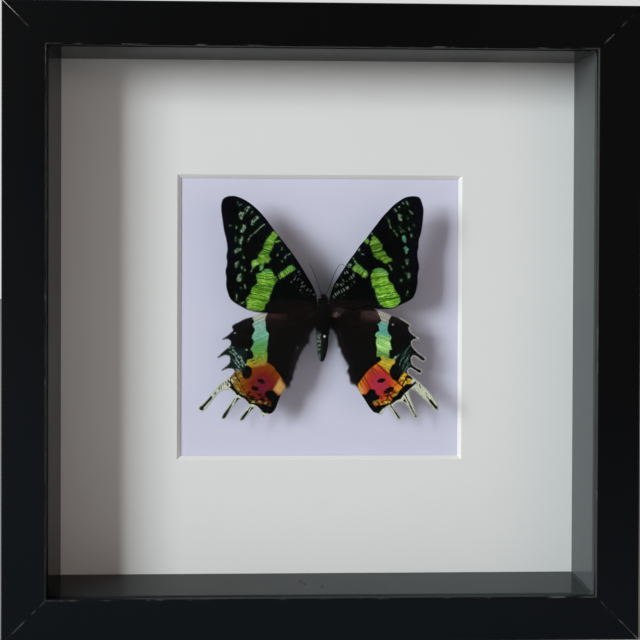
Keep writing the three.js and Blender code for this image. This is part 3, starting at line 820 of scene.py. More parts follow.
hindLeftMarks = {
    "band": (
        [
            [(-29.2, 0.9), (-26.1, 2.4), (-22.6, 4.2), (-22.5, 2.7), (-23.9, 0.1), (-23.5, -2.2),
             (-23.3, -5.1), (-22.1, -6.1), (-22.5, -8.6), (-22.8, -10.8), (-23.0, -13.0),
             (-22.7, -15.1), (-23.0, -17.6), (-23.5, -19.4), (-29.2, -20.1), (-31.5, -18.9),
             (-31.0, -16.9), (-28.9, -16.5), (-28.3, -15.1), (-28.9, -13.7), (-29.8, -12.6),
             (-28.8, -11.2), (-28.1, -9.4), (-29.3, -7.9), (-27.8, -4.5), (-28.9, -2.6), (-28.2, -1.5),
             (-28.4, -0.4)],
        ],
        [],
    ),
    "blaze": (
        [
            [(-29.2, -19.7), (-27.0, -19.3), (-23.5, -18.1), (-22.1, -18.3), (-19.9, -20.1),
             (-19.0, -21.8), (-17.6, -23.3), (-16.9, -24.3), (-16.4, -25.8), (-15.0, -27.5),
             (-15.0, -29.3), (-16.7, -31.3), (-18.1, -31.8), (-19.2, -30.7), (-20.3, -29.5),
             (-22.4, -29.5), (-23.9, -30.4), (-23.4, -32.0), (-22.4, -33.2), (-21.1, -34.3),
             (-21.2, -35.9), (-23.1, -34.6), (-25.6, -35.4), (-27.7, -34.6), (-30.6, -33.2),
             (-32.2, -31.3), (-33.8, -30.0), (-35.2, -30.4), (-36.2, -28.6), (-37.3, -26.1),
             (-37.6, -23.8), (-36.3, -21.8), (-34.8, -21.1), (-33.4, -21.8), (-32.7, -24.0),
             (-30.6, -23.6), (-29.2, -21.5)],
        ],
        [],
    ),
    "lobe": (
        [
            [(-17.1, -24.0), (-16.4, -25.8), (-14.8, -27.5), (-14.9, -29.3), (-16.7, -31.3),
             (-18.1, -31.8), (-19.9, -30.0), (-20.6, -29.0), (-19.2, -26.5), (-18.3, -24.7)],
        ],
        [],
    ),
    "gold": (
        [],
        strokes(0.42, [(-35.2, -21.1), (-33.8, -23.6), (-34.5, -26.5)],
                [(-36.3, -21.8), (-35.7, -24.6)],
                [(-36.8, -24.3), (-36.0, -27.0), (-33.8, -30.4), (-32.0, -31.8)],
                [(-31.0, -33.5), (-28.0, -34.4), (-25.6, -34.2)], [(-24.5, -34.4), (-21.3, -35.7)]),
    ),
    "teal": (
        [],
        strokes(0.34, [(-38.6, -12.1), (-36.4, -11.7)], [(-37.0, -12.8), (-35.2, -14.8), (-34.4, -16.2)])
        + strokes(0.26, [(-38.2, -13.5), (-36.4, -14.7)],
                  [(-36.2, -14.6), (-35.4, -16.8), (-34.0, -19.0)],
                  [(-34.0, -15.2), (-33.0, -17.4), (-31.6, -19.2)])
        + strokes(0.21, [(-37.2, -16.6), (-35.4, -18.8), (-33.6, -21.0)],
                  [(-35.8, -17.0), (-34.4, -18.0)], [(-33.6, -17.2), (-32.8, -19.8)],
                  [(-35.6, -20.6), (-34.2, -21.8)]),
    ),
    "white": (
        [],
        strokes(1.75, [(-38.6, -26.0), (-41.5, -28.5), (-46.8, -33.9), (-50.2, -37.2)])
        + strokes(1.35, [(-36.4, -31.9), (-38.3, -36.0), (-41.0, -41.0)],
                  [(-30.4, -35.9), (-33.6, -42.0)])
        + strokes(0.55, [(-38.5, -28.9), (-35.6, -31.5), (-32.7, -33.0), (-30.1, -35.3), (-27.0, -36.6)])
        + strokes(0.5, [(-25.4, -38.2), (-23.6, -39.8), (-22.4, -39.2)]),
    ),
    "ink": (
        [
            oval(-31.0, -22.4, 2.0, 2.6, -18), oval(-25.3, -25.7, 1.7, 0.95, -24),
            oval(-27.7, -28.7, 1.8, 0.95, -16), oval(-29.2, -32.3, 1.5, 0.5, -24),
            oval(-24.9, -33.3, 1.5, 0.55, -14), oval(-26.2, -31.3, 1.0, 0.4, -10),
            oval(-30.3, -30.4, 0.7, 0.35, -20), oval(-49.8, -36.9, 1.3, 0.95, 40),
            [(-23.9, -30.4), (-22.2, -29.5), (-20.3, -29.8), (-18.5, -31.8), (-16.6, -31.4),
             (-18.2, -35.0), (-19.3, -37.5), (-20.9, -39.2), (-22.4, -39.3), (-23.3, -38.0),
             (-25.6, -37.0), (-24.9, -35.9), (-22.0, -36.8), (-21.0, -36.1), (-21.1, -34.3),
             (-22.7, -32.5)],
        ],
        strokes(0.3, [(-36.3, -22.0), (-35.4, -24.0), (-34.1, -25.9)],
                [(-29.4, -34.9), (-27.0, -35.2), (-24.6, -35.9)])
        + strokes(0.55, [(-33.9, -31.4), (-31.5, -32.8), (-29.8, -34.8)])
        + strokes(0.2, [(-29.6, -17.6), (-27.4, -16.7), (-25.4, -15.3)],
                  [(-28.8, -18.9), (-26.4, -17.6)], [(-34.5, -24.8), (-32.2, -29.4), (-30.2, -32.1)],
                  [(-30.2, -29.8), (-27.5, -32.4)], [(-27.5, -30.4), (-23.5, -32.7)],
                  [(-30.9, -32.7), (-25.5, -33.8)], [(-24.8, -29.4), (-25.5, -31.4)])
        + strokes(0.5, [(-38.0, -25.9), (-37.0, -28.0), (-35.0, -31.0)])
        + strokes(0.22, [(-38.0, -24.4), (-37.7, -26.2)], [(-39.0, -25.2), (-38.9, -27.6)],
                  [(-40.0, -26.0), (-39.6, -27.4)], [(-40.9, -26.5), (-41.0, -27.6)],
                  [(-41.9, -27.3), (-41.6, -29.2)], [(-42.5, -27.8), (-42.7, -29.4)])
        + strokes(0.24, [(-43.6, -30.0), (-45.8, -32.4)], [(-36.2, -33.0), (-37.8, -35.6)],
                  [(-29.7, -36.4), (-31.0, -38.4)], [(-24.9, -38.1), (-23.4, -38.9)])
        + strokes(0.56, [(-45.8, -32.4), (-48.8, -35.8)], [(-37.8, -35.6), (-39.4, -38.4)],
                  [(-31.0, -38.4), (-32.4, -40.4)])
        + strokes(0.78, [(-39.4, -38.4), (-40.9, -41.0)], [(-32.4, -40.4), (-33.5, -41.8)]),
    ),
    # painted highlight at the wing's root
    "worn": (
        [
            oval(-5.2, 1.6, 1.5, 0.8, 20),
        ],
        [],
    ),
    "fleck": (
        [
            oval(-31.3, -12.8, 0.32, 0.4), oval(-36.1, -5.9, 0.4, 0.28), oval(-10.4, -11.9, 0.16, 0.3),
        ],
        [],
    ),
}
hindRightMarks = {
    "band": (
        [
            [(22.2, 4.3), (24.3, 3.6), (28.8, 1.6), (27.5, -0.3), (27.3, -1.9), (26.7, -3.6),
             (27.1, -5.7), (28.6, -7.5), (27.9, -9.3), (28.3, -11.1), (28.8, -12.6), (27.5, -12.9),
             (27.8, -14.5), (27.5, -16.1), (28.6, -16.5), (30.2, -16.3), (30.0, -18.3), (28.6, -19.4),
             (27.7, -22.2), (26.8, -21.9), (25.7, -20.1), (23.9, -19.4), (23.0, -18.3), (24.6, -16.9),
             (23.9, -15.4), (22.5, -15.6), (22.5, -13.7), (22.8, -12.6), (22.3, -10.8), (22.1, -8.6),
             (22.7, -7.9), (21.8, -6.8), (22.3, -5.6), (23.5, -5.1), (23.5, -3.6), (22.9, -2.2),
             (24.2, -1.2), (24.4, -0.3), (23.8, 0.7)],
        ],
        [],
    ),
    "blaze": (
        [
            [(22.8, -18.3), (23.9, -19.0), (25.7, -20.1), (27.7, -22.2), (28.9, -24.7), (31.5, -26.1),
             (32.2, -24.4), (33.6, -22.9), (34.3, -22.2), (35.4, -22.9), (33.6, -25.1), (34.0, -25.8),
             (36.8, -24.7), (37.5, -25.4), (36.8, -26.9), (34.7, -26.9), (32.5, -29.0), (31.5, -30.4),
             (29.7, -31.9), (29.0, -32.9), (28.6, -34.7), (26.8, -35.8), (25.4, -35.4), (23.3, -35.8),
             (21.8, -36.1), (20.8, -34.7), (21.8, -33.6), (24.0, -33.3), (23.3, -31.8), (22.2, -30.8),
             (22.0, -29.4), (20.7, -29.0), (19.7, -29.0), (18.2, -31.1), (16.3, -31.2), (14.3, -29.0),
             (14.9, -26.8), (17.5, -23.3), (19.6, -20.8)],
        ],
        [],
    ),
    "lobe": (
        [
            [(14.0, -28.0), (15.6, -27.0), (17.4, -28.6), (17.9, -31.0), (16.2, -31.4), (14.2, -29.6)],
        ],
        [],
    ),
    "gold": (
        [],
        strokes(0.8, [(35.2, -25.3), (36.8, -25.6)], [(33.3, -24.2), (33.9, -25.4)],
                [(21.8, -34.3), (23.2, -34.7)])
        + strokes(0.4, [(21.6, -34.7), (24.2, -34.8)], [(25.6, -34.6), (28.0, -34.2)],
                  [(31.6, -26.2), (32.6, -24.4)], [(33.0, -27.2), (34.6, -26.0), (36.9, -25.3)],
                  [(29.4, -32.0), (31.2, -30.6)], [(33.2, -23.4), (34.6, -22.4)]),
    ),
    "teal": (
        [],
        strokes(0.17, [(36.7, -10.8), (34.6, -12.9), (33.2, -15.4), (32.1, -18.6), (31.4, -21.5)],
                [(36.1, -14.7), (34.3, -17.6), (33.2, -20.6)],
                [(35.0, -12.9), (34.0, -15.8), (32.4, -17.4)], [(36.1, -18.6), (34.3, -20.8)],
                [(31.8, -14.4), (30.4, -16.6)], [(35.6, -16.4), (33.6, -19.2)],
                [(35.4, -18.2), (34.8, -20.6), (33.6, -22.2)]),
    ),
    "white": (
        [],
        strokes(1.75, [(38.6, -26.2), (41.9, -30.4), (44.8, -34.0), (48.2, -38.2)])
        + strokes(1.35, [(35.2, -31.4), (36.9, -36.2), (39.0, -41.0)], [(29.3, -36.3), (32.2, -41.6)])
        + strokes(0.6, [(37.4, -28.4), (35.2, -30.4), (33.0, -33.6), (29.9, -34.8), (27.4, -36.5)])
        + strokes(0.45, [(24.0, -39.2), (25.6, -37.4)]),
    ),
    "ink": (
        [
            oval(24.5, -25.5, 1.9, 0.95, 14), oval(27.6, -29.5, 2.4, 1.1, 26),
            [(27.9, -20.8), (29.3, -19.4), (30.3, -18.6), (31.2, -17.0), (32.0, -20.0), (31.6, -22.6),
             (32.2, -23.8), (30.4, -25.1), (28.4, -22.9)],
            [(19.7, -29.3), (21.8, -29.3), (22.2, -30.8), (23.3, -32.2), (21.1, -33.3), (20.6, -34.7),
             (21.8, -36.5), (23.3, -37.4), (22.4, -39.2), (20.6, -38.6), (17.2, -33.8), (16.0, -31.3),
             (17.9, -31.3)],
            oval(47.2, -36.9, 1.2, 0.95, -45),
        ],
        strokes(0.5, [(38.6, -26.3), (36.4, -28.4), (33.5, -30.8), (31.1, -32.9), (28.6, -34.9)])
        + strokes(0.15, [(17.1, -22.4), (19.5, -27.7)], [(18.5, -21.0), (20.8, -25.7)],
                  [(20.2, -20.0), (22.2, -23.7)], [(23.5, -19.0), (26.9, -23.0)],
                  [(25.6, -17.3), (27.9, -21.7)], [(16.1, -24.4), (17.6, -27.4)])
        + strokes(0.2, [(29.6, -27.7), (33.6, -25.1)], [(31.6, -30.7), (36.4, -27.1)],
                  [(32.3, -25.7), (33.6, -27.7)], [(34.3, -23.7), (35.3, -26.4)],
                  [(22.8, -31.8), (25.6, -32.4), (30.3, -30.4)], [(26.9, -30.7), (27.2, -32.4)],
                  [(28.9, -29.8), (29.6, -31.4)], [(21.5, -33.1), (23.2, -35.1)])
        + strokes(0.32, [(35.6, -23.3), (34.2, -25.6), (32.9, -27.6)], [(25.0, -36.4), (22.8, -37.8)],
                  [(27.8, -35.2), (25.2, -36.0)])
        + strokes(0.2, [(39.6, -26.6), (39.2, -27.8)], [(40.3, -27.2), (40.7, -28.4), (40.0, -28.8)],
                  [(43.0, -30.6), (43.4, -31.0)])
        + strokes(0.24, [(34.2, -31.2), (36.4, -35.6)], [(28.2, -35.6), (30.2, -38.4)],
                  [(43.0, -31.6), (44.8, -33.8)])
        + strokes(0.38, [(36.4, -35.6), (38.9, -40.6)], [(30.2, -38.4), (32.0, -41.2)])
        + strokes(0.6, [(44.8, -33.8), (46.8, -36.2)]),
    ),
    # painted highlight at the wing's root
    "worn": (
        [
            oval(5.4, 1.9, 1.4, 0.95, 10),
        ],
        [],
    ),
    "fleck": (
        [
            oval(29.1, -2.4, 0.32, 0.38), oval(30.2, -15.9, 0.55, 0.36, 40),
        ],
        [],
    ),
}
limeAxes = [  # middles of the green bands
    [(20.0, 35.5), (21.8, 30.5), (23.8, 26.0), (26.0, 22.5)],
    [(22.6, 21.5), (23.2, 16.5), (24.8, 12.0), (27.0, 4.0)],
    [(11.5, 21.4), (18.2, 17.4)],
]
veins = {  # right wings; the left are mirrored
    "fore": [
        [(3, 8), (12, 21.5), (20, 31)], [(3, 6.5), (12, 12.5), (20, 18)],
        [(20, 31), (21, 25), (20, 18)], [(16, 26.5), (26, 40), (33, 49)],
        [(18, 29), (30, 42.5), (37, 50)], [(20, 31), (32, 41), (40, 46)],
        [(20.6, 28), (31, 34.5), (40, 39)], [(21, 25), (30, 29), (38.4, 31)],
        [(20.6, 21.5), (30, 23.5), (38, 25)], [(20, 18), (29, 18.6), (38.2, 18.6)],
        [(14, 13.8), (26, 13.2), (37.6, 12.2)], [(3, 5), (16, 6.2), (31, 6.2)],
    ],
    "hind": [
        [(3, 1), (12, -1), (19, -5)], [(3, -0.5), (10, -6.5), (16.5, -13)],
        [(19, -5), (19.5, -9.5), (16.5, -13)], [(12, -1), (24, 1.5), (32, 0)],
        [(19, -5), (29, -4), (36.5, -5)], [(19.8, -7), (30, -8.2), (38, -9)],
        [(19.5, -9.5), (30, -14), (39, -17)], [(18.5, -11), (28, -18.5), (38, -23.5)],
        [(16.5, -13), (26, -24), (37, -29.5), (46, -36)],
        [(14, -11), (22, -24.5), (33.5, -33), (38, -40)],
        [(8, -5), (17, -22), (28, -35.5), (31.5, -41)], [(5, -4), (13, -20), (22, -37)],
    ],
}


def curveThrough(points, step):
    # closed centripetal curve through the points, sampled about every step
    knots = np.array(points)
    count = len(knots)
    found = []
    for i in range(count):
        p = [knots[(i + k) % count] for k in (-1, 0, 1, 2)]
        t = [0.0]
        for a, b in zip(p, p[1:]):
            t.append(t[-1] + max(np.linalg.norm(b - a), 1e-6) ** 0.5)
        samples = max(1, round(np.linalg.norm(p[2] - p[1]) / step))
        for s in np.linspace(t[1], t[2], samples, endpoint=False):
            a1 = ((t[1] - s) * p[0] + (s - t[0]) * p[1]) / (t[1] - t[0])
            a2 = ((t[2] - s) * p[1] + (s - t[1]) * p[2]) / (t[2] - t[1])
            a3 = ((t[3] - s) * p[2] + (s - t[2]) * p[3]) / (t[3] - t[2])
            b1 = ((t[2] - s) * a1 + (s - t[0]) * a2) / (t[2] - t[0])
            b2 = ((t[3] - s) * a2 + (s - t[1]) * a3) / (t[3] - t[1])
            found.append(((t[2] - s) * b1 + (s - t[1]) * b2) / (t[2] - t[1]))
    return np.array(found)


def lineDistance(places, line):
    # distance of every place to a chain of points, and how far along the chain its nearest point is
    best = np.full(len(places), 1e9)
    along = np.zeros(len(places))
    walked = 0.0
    for a, b in zip(line, line[1:]):
        a, b = np.array(a, float), np.array(b, float)
        way = b - a
        length = np.linalg.norm(way)
        t = np.clip((places - a) @ way / length ** 2, 0, 1)
        distance = np.linalg.norm(places - a - t[:, None] * way, axis=1)
        nearer = distance < best
        best = np.where(nearer, distance, best)
        along = np.where(nearer, walked + t * length, along)
        walked += length
    return best, along


def depthInside(places, shape):
    # distance to the edge of a closed shape, positive inside it
    ring = [tuple(p) for p in shape] + [tuple(shape[0])]
    distance, _ = lineDistance(places, ring)
    inside = np.zeros(len(places), bool)
    x, y = places[:, 0], places[:, 1]
    for (ax, ay), (bx, by) in zip(ring, ring[1:]):
        crosses = (ay > y) != (by > y)
        with np.errstate(divide="ignore", invalid="ignore"):
            at = (bx - ax) * (y - ay) / (by - ay) + ax
        inside ^= crosses & (x < at)
    return np.where(inside, distance, -distance)


def markDepth(places, mark):
    areas, lines = mark
    depth = np.full(len(places), -6.0)
    for area in areas:
        depth = np.maximum(depth, depthInside(places, area))
    for halfWidth, line in lines:
        distance, _ = lineDistance(places, line)
        depth = np.maximum(depth, halfWidth - distance)
    return depth


wingIs = {
    "edgeStep": 0.28,
    "fine": 0.19,  # mesh spacing in and beside a marking
    "coarse": 0.60,
    "fineBand": (-0.35, 1.1),  # depths into a marking that are fine
    "thickness": 0.11,
    "foreHinge": 16.85,
    "foreRise": 0.05,
    "foreLift": 5.0,  # the front edge stands this much higher near its middle
    "frontRoot": (2.4, 8.6),  # where the front edge starts
    "frontWay": (0.548, 0.836),
    "liftLength": 46,
    "liftEnds": (14, 20),  # over these lengths the lift grows and fades
    "liftBreadth": 16,
    "hindHinge": 14.55,
    "hindRise": 0.075,
    "tailRise": 0.9,
    "root": 3.3,
    "pleat": 0.16,  # sag of the skin between two veins
    "pleatReach": 1.3,
    "veinWidth": 0.22,
    "veinRidge": 0.05,
    "wave": 0.22,
    # outlines are drawn for wings at these heights, and close in on the focus above them
    "drawnFore": (12.75, 0.21),
    "drawnHind": 11.5,
    "focus": (-28.2, 30.2),
    "sight": 496.0,
}


def foreHeight(places):
    u, v = np.abs(places[:, 0]), places[:, 1]
    (startU, startV), (wayU, wayV) = wingIs["frontRoot"], wingIs["frontWay"]
    grow, fade = wingIs["liftEnds"]
    # distances along the front edge and back from it
    along = wayU * (u - startU) + wayV * (v - startV)
    back = wayV * (u - startU) - wayU * (v - startV)
    lift = np.clip(along / grow, 0, 1) * np.clip((wingIs["liftLength"] - along) / fade, 0, 1)
    lift = lift * np.clip(1 - back / wingIs["liftBreadth"], 0, 1)
    lift = lift * lift * (3 - 2 * lift)
    return wingIs["foreHinge"] + wingIs["foreRise"] * (u - wingIs["root"]) + wingIs["foreLift"] * lift


def hindHeight(places):
    reach = np.abs(places[:, 0]) - wingIs["root"]
    front = np.clip((places[:, 1] + 14) / 17, 0, 1)  # 1 along the front margin
    tails = np.clip((-places[:, 1] - 26) / 16, 0, 1)  # 1 at the ends of the tails
    height = wingIs["hindHinge"] + wingIs["hindRise"] * reach * front ** 1.4
    return height + wingIs["tailRise"] * tails ** 2 * np.clip(reach / 40, 0, 1)


def lattice(low, high, step):
    rows = np.arange(low[1], high[1], step * 0.866)
    points = []
    for i, y in enumerate(rows):
        xs = np.arange(low[0] + (i % 2) * step / 2, high[0], step)
        points.append(np.stack([xs, np.full(len(xs), y)], axis=1))
    return np.concatenate(points)


def wingSkin(places, kind):
    # height of the wing above the card, and distance to its nearest vein
    turned = np.stack([np.abs(places[:, 0]), places[:, 1]], axis=1)
    toVein = np.min([lineDistance(turned, line)[0] for line in veins[kind]], axis=0)
    height = foreHeight(places) if kind == "fore" else hindHeight(places)
    height = height - wingIs["pleat"] * (1 - np.exp(-(toVein / wingIs["pleatReach"]) ** 2))
    height += wingIs["veinRidge"] * np.exp(-(toVein / wingIs["veinWidth"]) ** 2)
    height += wingIs["wave"] * np.sin(places[:, 0] * 0.31 + places[:, 1] * 0.17) * turned[:, 0] / 40
    return height, toVein


def seated(places, height, kind):
    # where drawn points come to stand at their height
    level, slope = wingIs["drawnFore"] if kind == "fore" else (wingIs["drawnHind"], 0)
    drawn = level + slope * (np.abs(places[:, 0]) - wingIs["root"])
    focus = np.array(wingIs["focus"])
    return focus + (places - focus) * (1 - (height - drawn) / wingIs["sight"])[:, None]


def wingPoints(rim, marks):
    # points inside the rim, closer together in and beside the markings
    low, high = rim.min(0), rim.max(0)
    fine = lattice(low, high, wingIs["fine"])
    fine = fine[depthInside(fine, rim) > wingIs["fine"] * 0.6]
    shallow, deep = wingIs["fineBand"]
    drawn = np.max([markDepth(fine, mark) for mark in marks.values()], axis=0)
    fine = fine[(drawn > shallow) & (drawn < deep)]
    coarse = lattice(low, high, wingIs["coarse"])
    coarse = coarse[depthInside(coarse, rim) > wingIs["fine"]]
    near = np.max([markDepth(coarse, mark) for mark in marks.values()], axis=0)
    coarse = coarse[(near < shallow - wingIs["fine"]) | (near > deep + wingIs["fine"])]
    return np.concatenate([rim, fine, coarse])


def bandPlace(places):
    # how far along its green band each place is; the bands follow one another 40 mm apart
    turned = np.stack([np.abs(places[:, 0]), places[:, 1]], axis=1)
    spans = [lineDistance(turned, line) for line in limeAxes]
    nearest = np.argmin([distance for distance, _ in spans], axis=0)
    return np.choose(nearest, [along + 40 * i for i, (_, along) in enumerate(spans)])


def buildWing(node, kind, edge, marks, finish):
    rim = curveThrough(edge, wingIs["edgeStep"])
    loop = [(i, (i + 1) % len(rim)) for i in range(len(rim))]
    flat = [Vector(p) for p in wingPoints(rim, marks)]
    places, _, faces, _, _, _ = delaunay_2d_cdt(flat, loop, [], 1, 1e-5)
    places = np.array([tuple(p) for p in places])
    height, toVein = wingSkin(places, kind)
    points = [atMoth(u, v, h) for (u, v), h in zip(seated(places, height, kind), height)]
    wing = meshPiece(node + "_piece", points, faces, finish)
    fields = {key: markDepth(places, mark) for key, mark in marks.items()}
    fields["edge"] = depthInside(places, rim)
    fields["vein"] = toVein
    if kind == "fore":
        fields["rib"] = bandPlace(places)
    for key, values in fields.items():
        layer = wing.data.attributes.new(key, "FLOAT", "POINT")
        layer.data.foreach_set("value", values.astype(np.float32))
    applyModifier(wing, "SOLIDIFY", thickness=wingIs["thickness"] * mm, offset=-1)
    standsFor(wing, "wing_scales", node)
    print(node, len(wing.data.polygons), "faces")
    return seated(rim, wingSkin(rim, kind)[0], kind)


scalesIs = {
    "scale": 5600.0,
    "stretch": (1.0, 1.0, 0.62),
    "bump": 0.00006,
    "contrast": 0.56,
}


def scaleDust(f):
    # brightness of single wing scales
    cell = f.cells(scalesIs["scale"], scalesIs["stretch"], "Color")
    shade = f.node("ShaderNodeSeparateColor", {}, {0: cell})
    return 1.0 - scalesIs["contrast"] / 2 + shade * scalesIs["contrast"]


def scaleRelief(f, vein):
    return f.cells(scalesIs["scale"], scalesIs["stretch"]) * 0.5 + vein.rise(0.32, 0.05) * 0.8


def dimmed(tone, amount):
    return tuple(c * amount for c in tone)


def forewingFinish(name, brightness, upper, minted, dashTurn, dashShare, dashTone):
    f = Finish(name)
    lime, pale, teal, field = (f.attribute(key) for key in ("lime", "pale", "teal", "field"))
    seam, edge, vein, rib = (f.attribute(key) for key in ("seam", "edge", "vein", "rib"))
    u, v = f.fromBody()
    x = abs(u)

    # where each marking shows, with ragged edges
    ragged = (f.noise(2100.0, 3.0) - 0.5) * 0.95
    teeth = (f.lines(rib, 2.4, 3.0) - 0.5) * 1.3
    limeOn = (lime + ragged * 0.9 + teeth).rise(-0.14, 0.14)
    broken = f.noise(1350.0, 3.0)
    paleOn = (pale + ragged * 1.0 + 0.05).rise(-0.06, 0.12) * broken.rise(0.40, 0.52)
    tealOn = (teal + ragged * 1.1).rise(-0.08, 0.12) * broken.rise(0.34, 0.48)
    dashOn = f.grain(dashTurn, 1020.0, 3.1).rise(0.28, 0.15) * (field + ragged * 2.0).rise(-0.3, 0.5)
    dashOn = dashOn * f.noise(420.0, 2.0).rise(*dashShare)
    seamOn = (seam + ragged * 0.6).rise(-0.20, 0.14) * limeOn

    # greens of the bands, with ripples and creases across them
    slow = f.lines(rib, 0.42, 2.0)
    quick = f.lines(rib + (f.noise(420.0, 2.0) - 0.5) * 1.6, 1.9, 3.0)
    patch = f.noise(360.0, 4.0, rough=0.55)
    crease = f.lines(rib + (f.noise(380.0, 2.0) - 0.5) * 1.0, 1.15, 2.0)
    crease = (1.0 - abs(crease - 0.5).rise(0.008, 0.030)) * f.noise(330.0, 2.0).rise(0.42, 0.54)
    tone = (slow - 0.5) * 0.75 + (quick - 0.5) * 1.15 + (patch - 0.5) * 0.75 + 0.50
    tone = tone + (f.noise(1500.0, 2.0) - 0.5) * 0.35
    green = f.ramp(tone, [(0.20, (0.025, 0.120, 0.010)), (0.41, (0.110, 0.330, 0.016)),
                          (0.57, (0.22, 0.53, 0.028)), (0.78, (0.48, 0.78, 0.17))])
    shade = lime.rise(0.95, 0.1) * f.noise(800.0, 3.0).rise(0.35, 0.60)
    green = f.mix(shade * 0.55, green, (0.035, 0.15, 0.018))
    rimmed = (lime + ragged).rise(0.50, 0.05) * f.noise(1500.0, 2.0).rise(0.50, 0.62)
    green = f.mix(rimmed * 0.75, green, (0.34, 0.52, 0.30))
    green = f.mix(crease * 0.75, green, (0.020, 0.095, 0.010))
    green = f.mix(seamOn * 0.88, green, (0.018, 0.090, 0.010))
    ends = v + x * 0.2
    green = f.mix(ends.rise(28.5, 26.0) * ends.rise(22.0, 25.0) * 0.45, green, (0.05, 0.30, 0.12))
    arm = x.rise(20.2, 18.6) * v.rise(24.5, 23.0)
    level = (1.0 - v.rise(22.5, 25.5) * (1.0 - upper)) * (1.0 - arm * 0.16) * brightness
    green = f.scaled(green, level)

    # pale and sea-green marks
    mint = f.mix(f.noise(1000.0, 3.0).rise(0.38, 0.60),
                 dimmed((0.075, 0.17, 0.085), minted), dimmed((0.31, 0.44, 0.32), minted))
    sea = f.mix(f.noise(900.0, 3.0).rise(0.38, 0.62), (0.02, 0.15, 0.10), (0.13, 0.38, 0.26))

    # black ground with a painted blue sheen near the rim, a brown root, a glow round the bands, flecks and
    # dashes
    # painted sheen: the black turns blue near the upper outer rim
    rimSheen = edge.rise(6.0, 1.0) * v.rise(14.0, 26.0)
    dark = f.mix(rimSheen, (0.0010, 0.0014, 0.0014), (0.0018, 0.0020, 0.0046))
    brown = (v + x * 0.10).rise(11.0, 4.0) * x.rise(24.0, 14.0)
    dark = f.mix(brown, dark, (0.0040, 0.0022, 0.0020))
    glow = lime.higher(pale - 0.1).rise(-1.5, 0.0) * f.noise(700.0, 3.0).rise(0.40, 0.62)
    dark = f.mix(glow * 0.9, dark, (0.0025, 0.0120, 0.0035))
    fleck = f.noise(1500.0, 2.0).rise(0.72, 0.77) * edge.rise(2.0, 5.0)
    dark = f.mix(fleck * 0.6, dark, (0.030, 0.045, 0.036))
    dark = f.mix(dashOn, dark, dashTone)

    colour = f.mix(paleOn, dark, mint)
    colour = f.mix(tealOn, colour, sea)
    colour = f.mix(limeOn, colour, green)
    colour = f.scaled(colour, scaleDust(f))
    lit = limeOn.higher(paleOn).higher(tealOn)
    relief = scaleRelief(f, vein) + quick * limeOn * 0.6
    return f.done(f.principled({
        "Base Color": colour, "Roughness": 0.70 - lit * 0.16, "Metallic": lit * 0.20,
        "Specular IOR Level": 0.012, "Normal": f.bump(relief, scalesIs["bump"], 0.55),
    }))


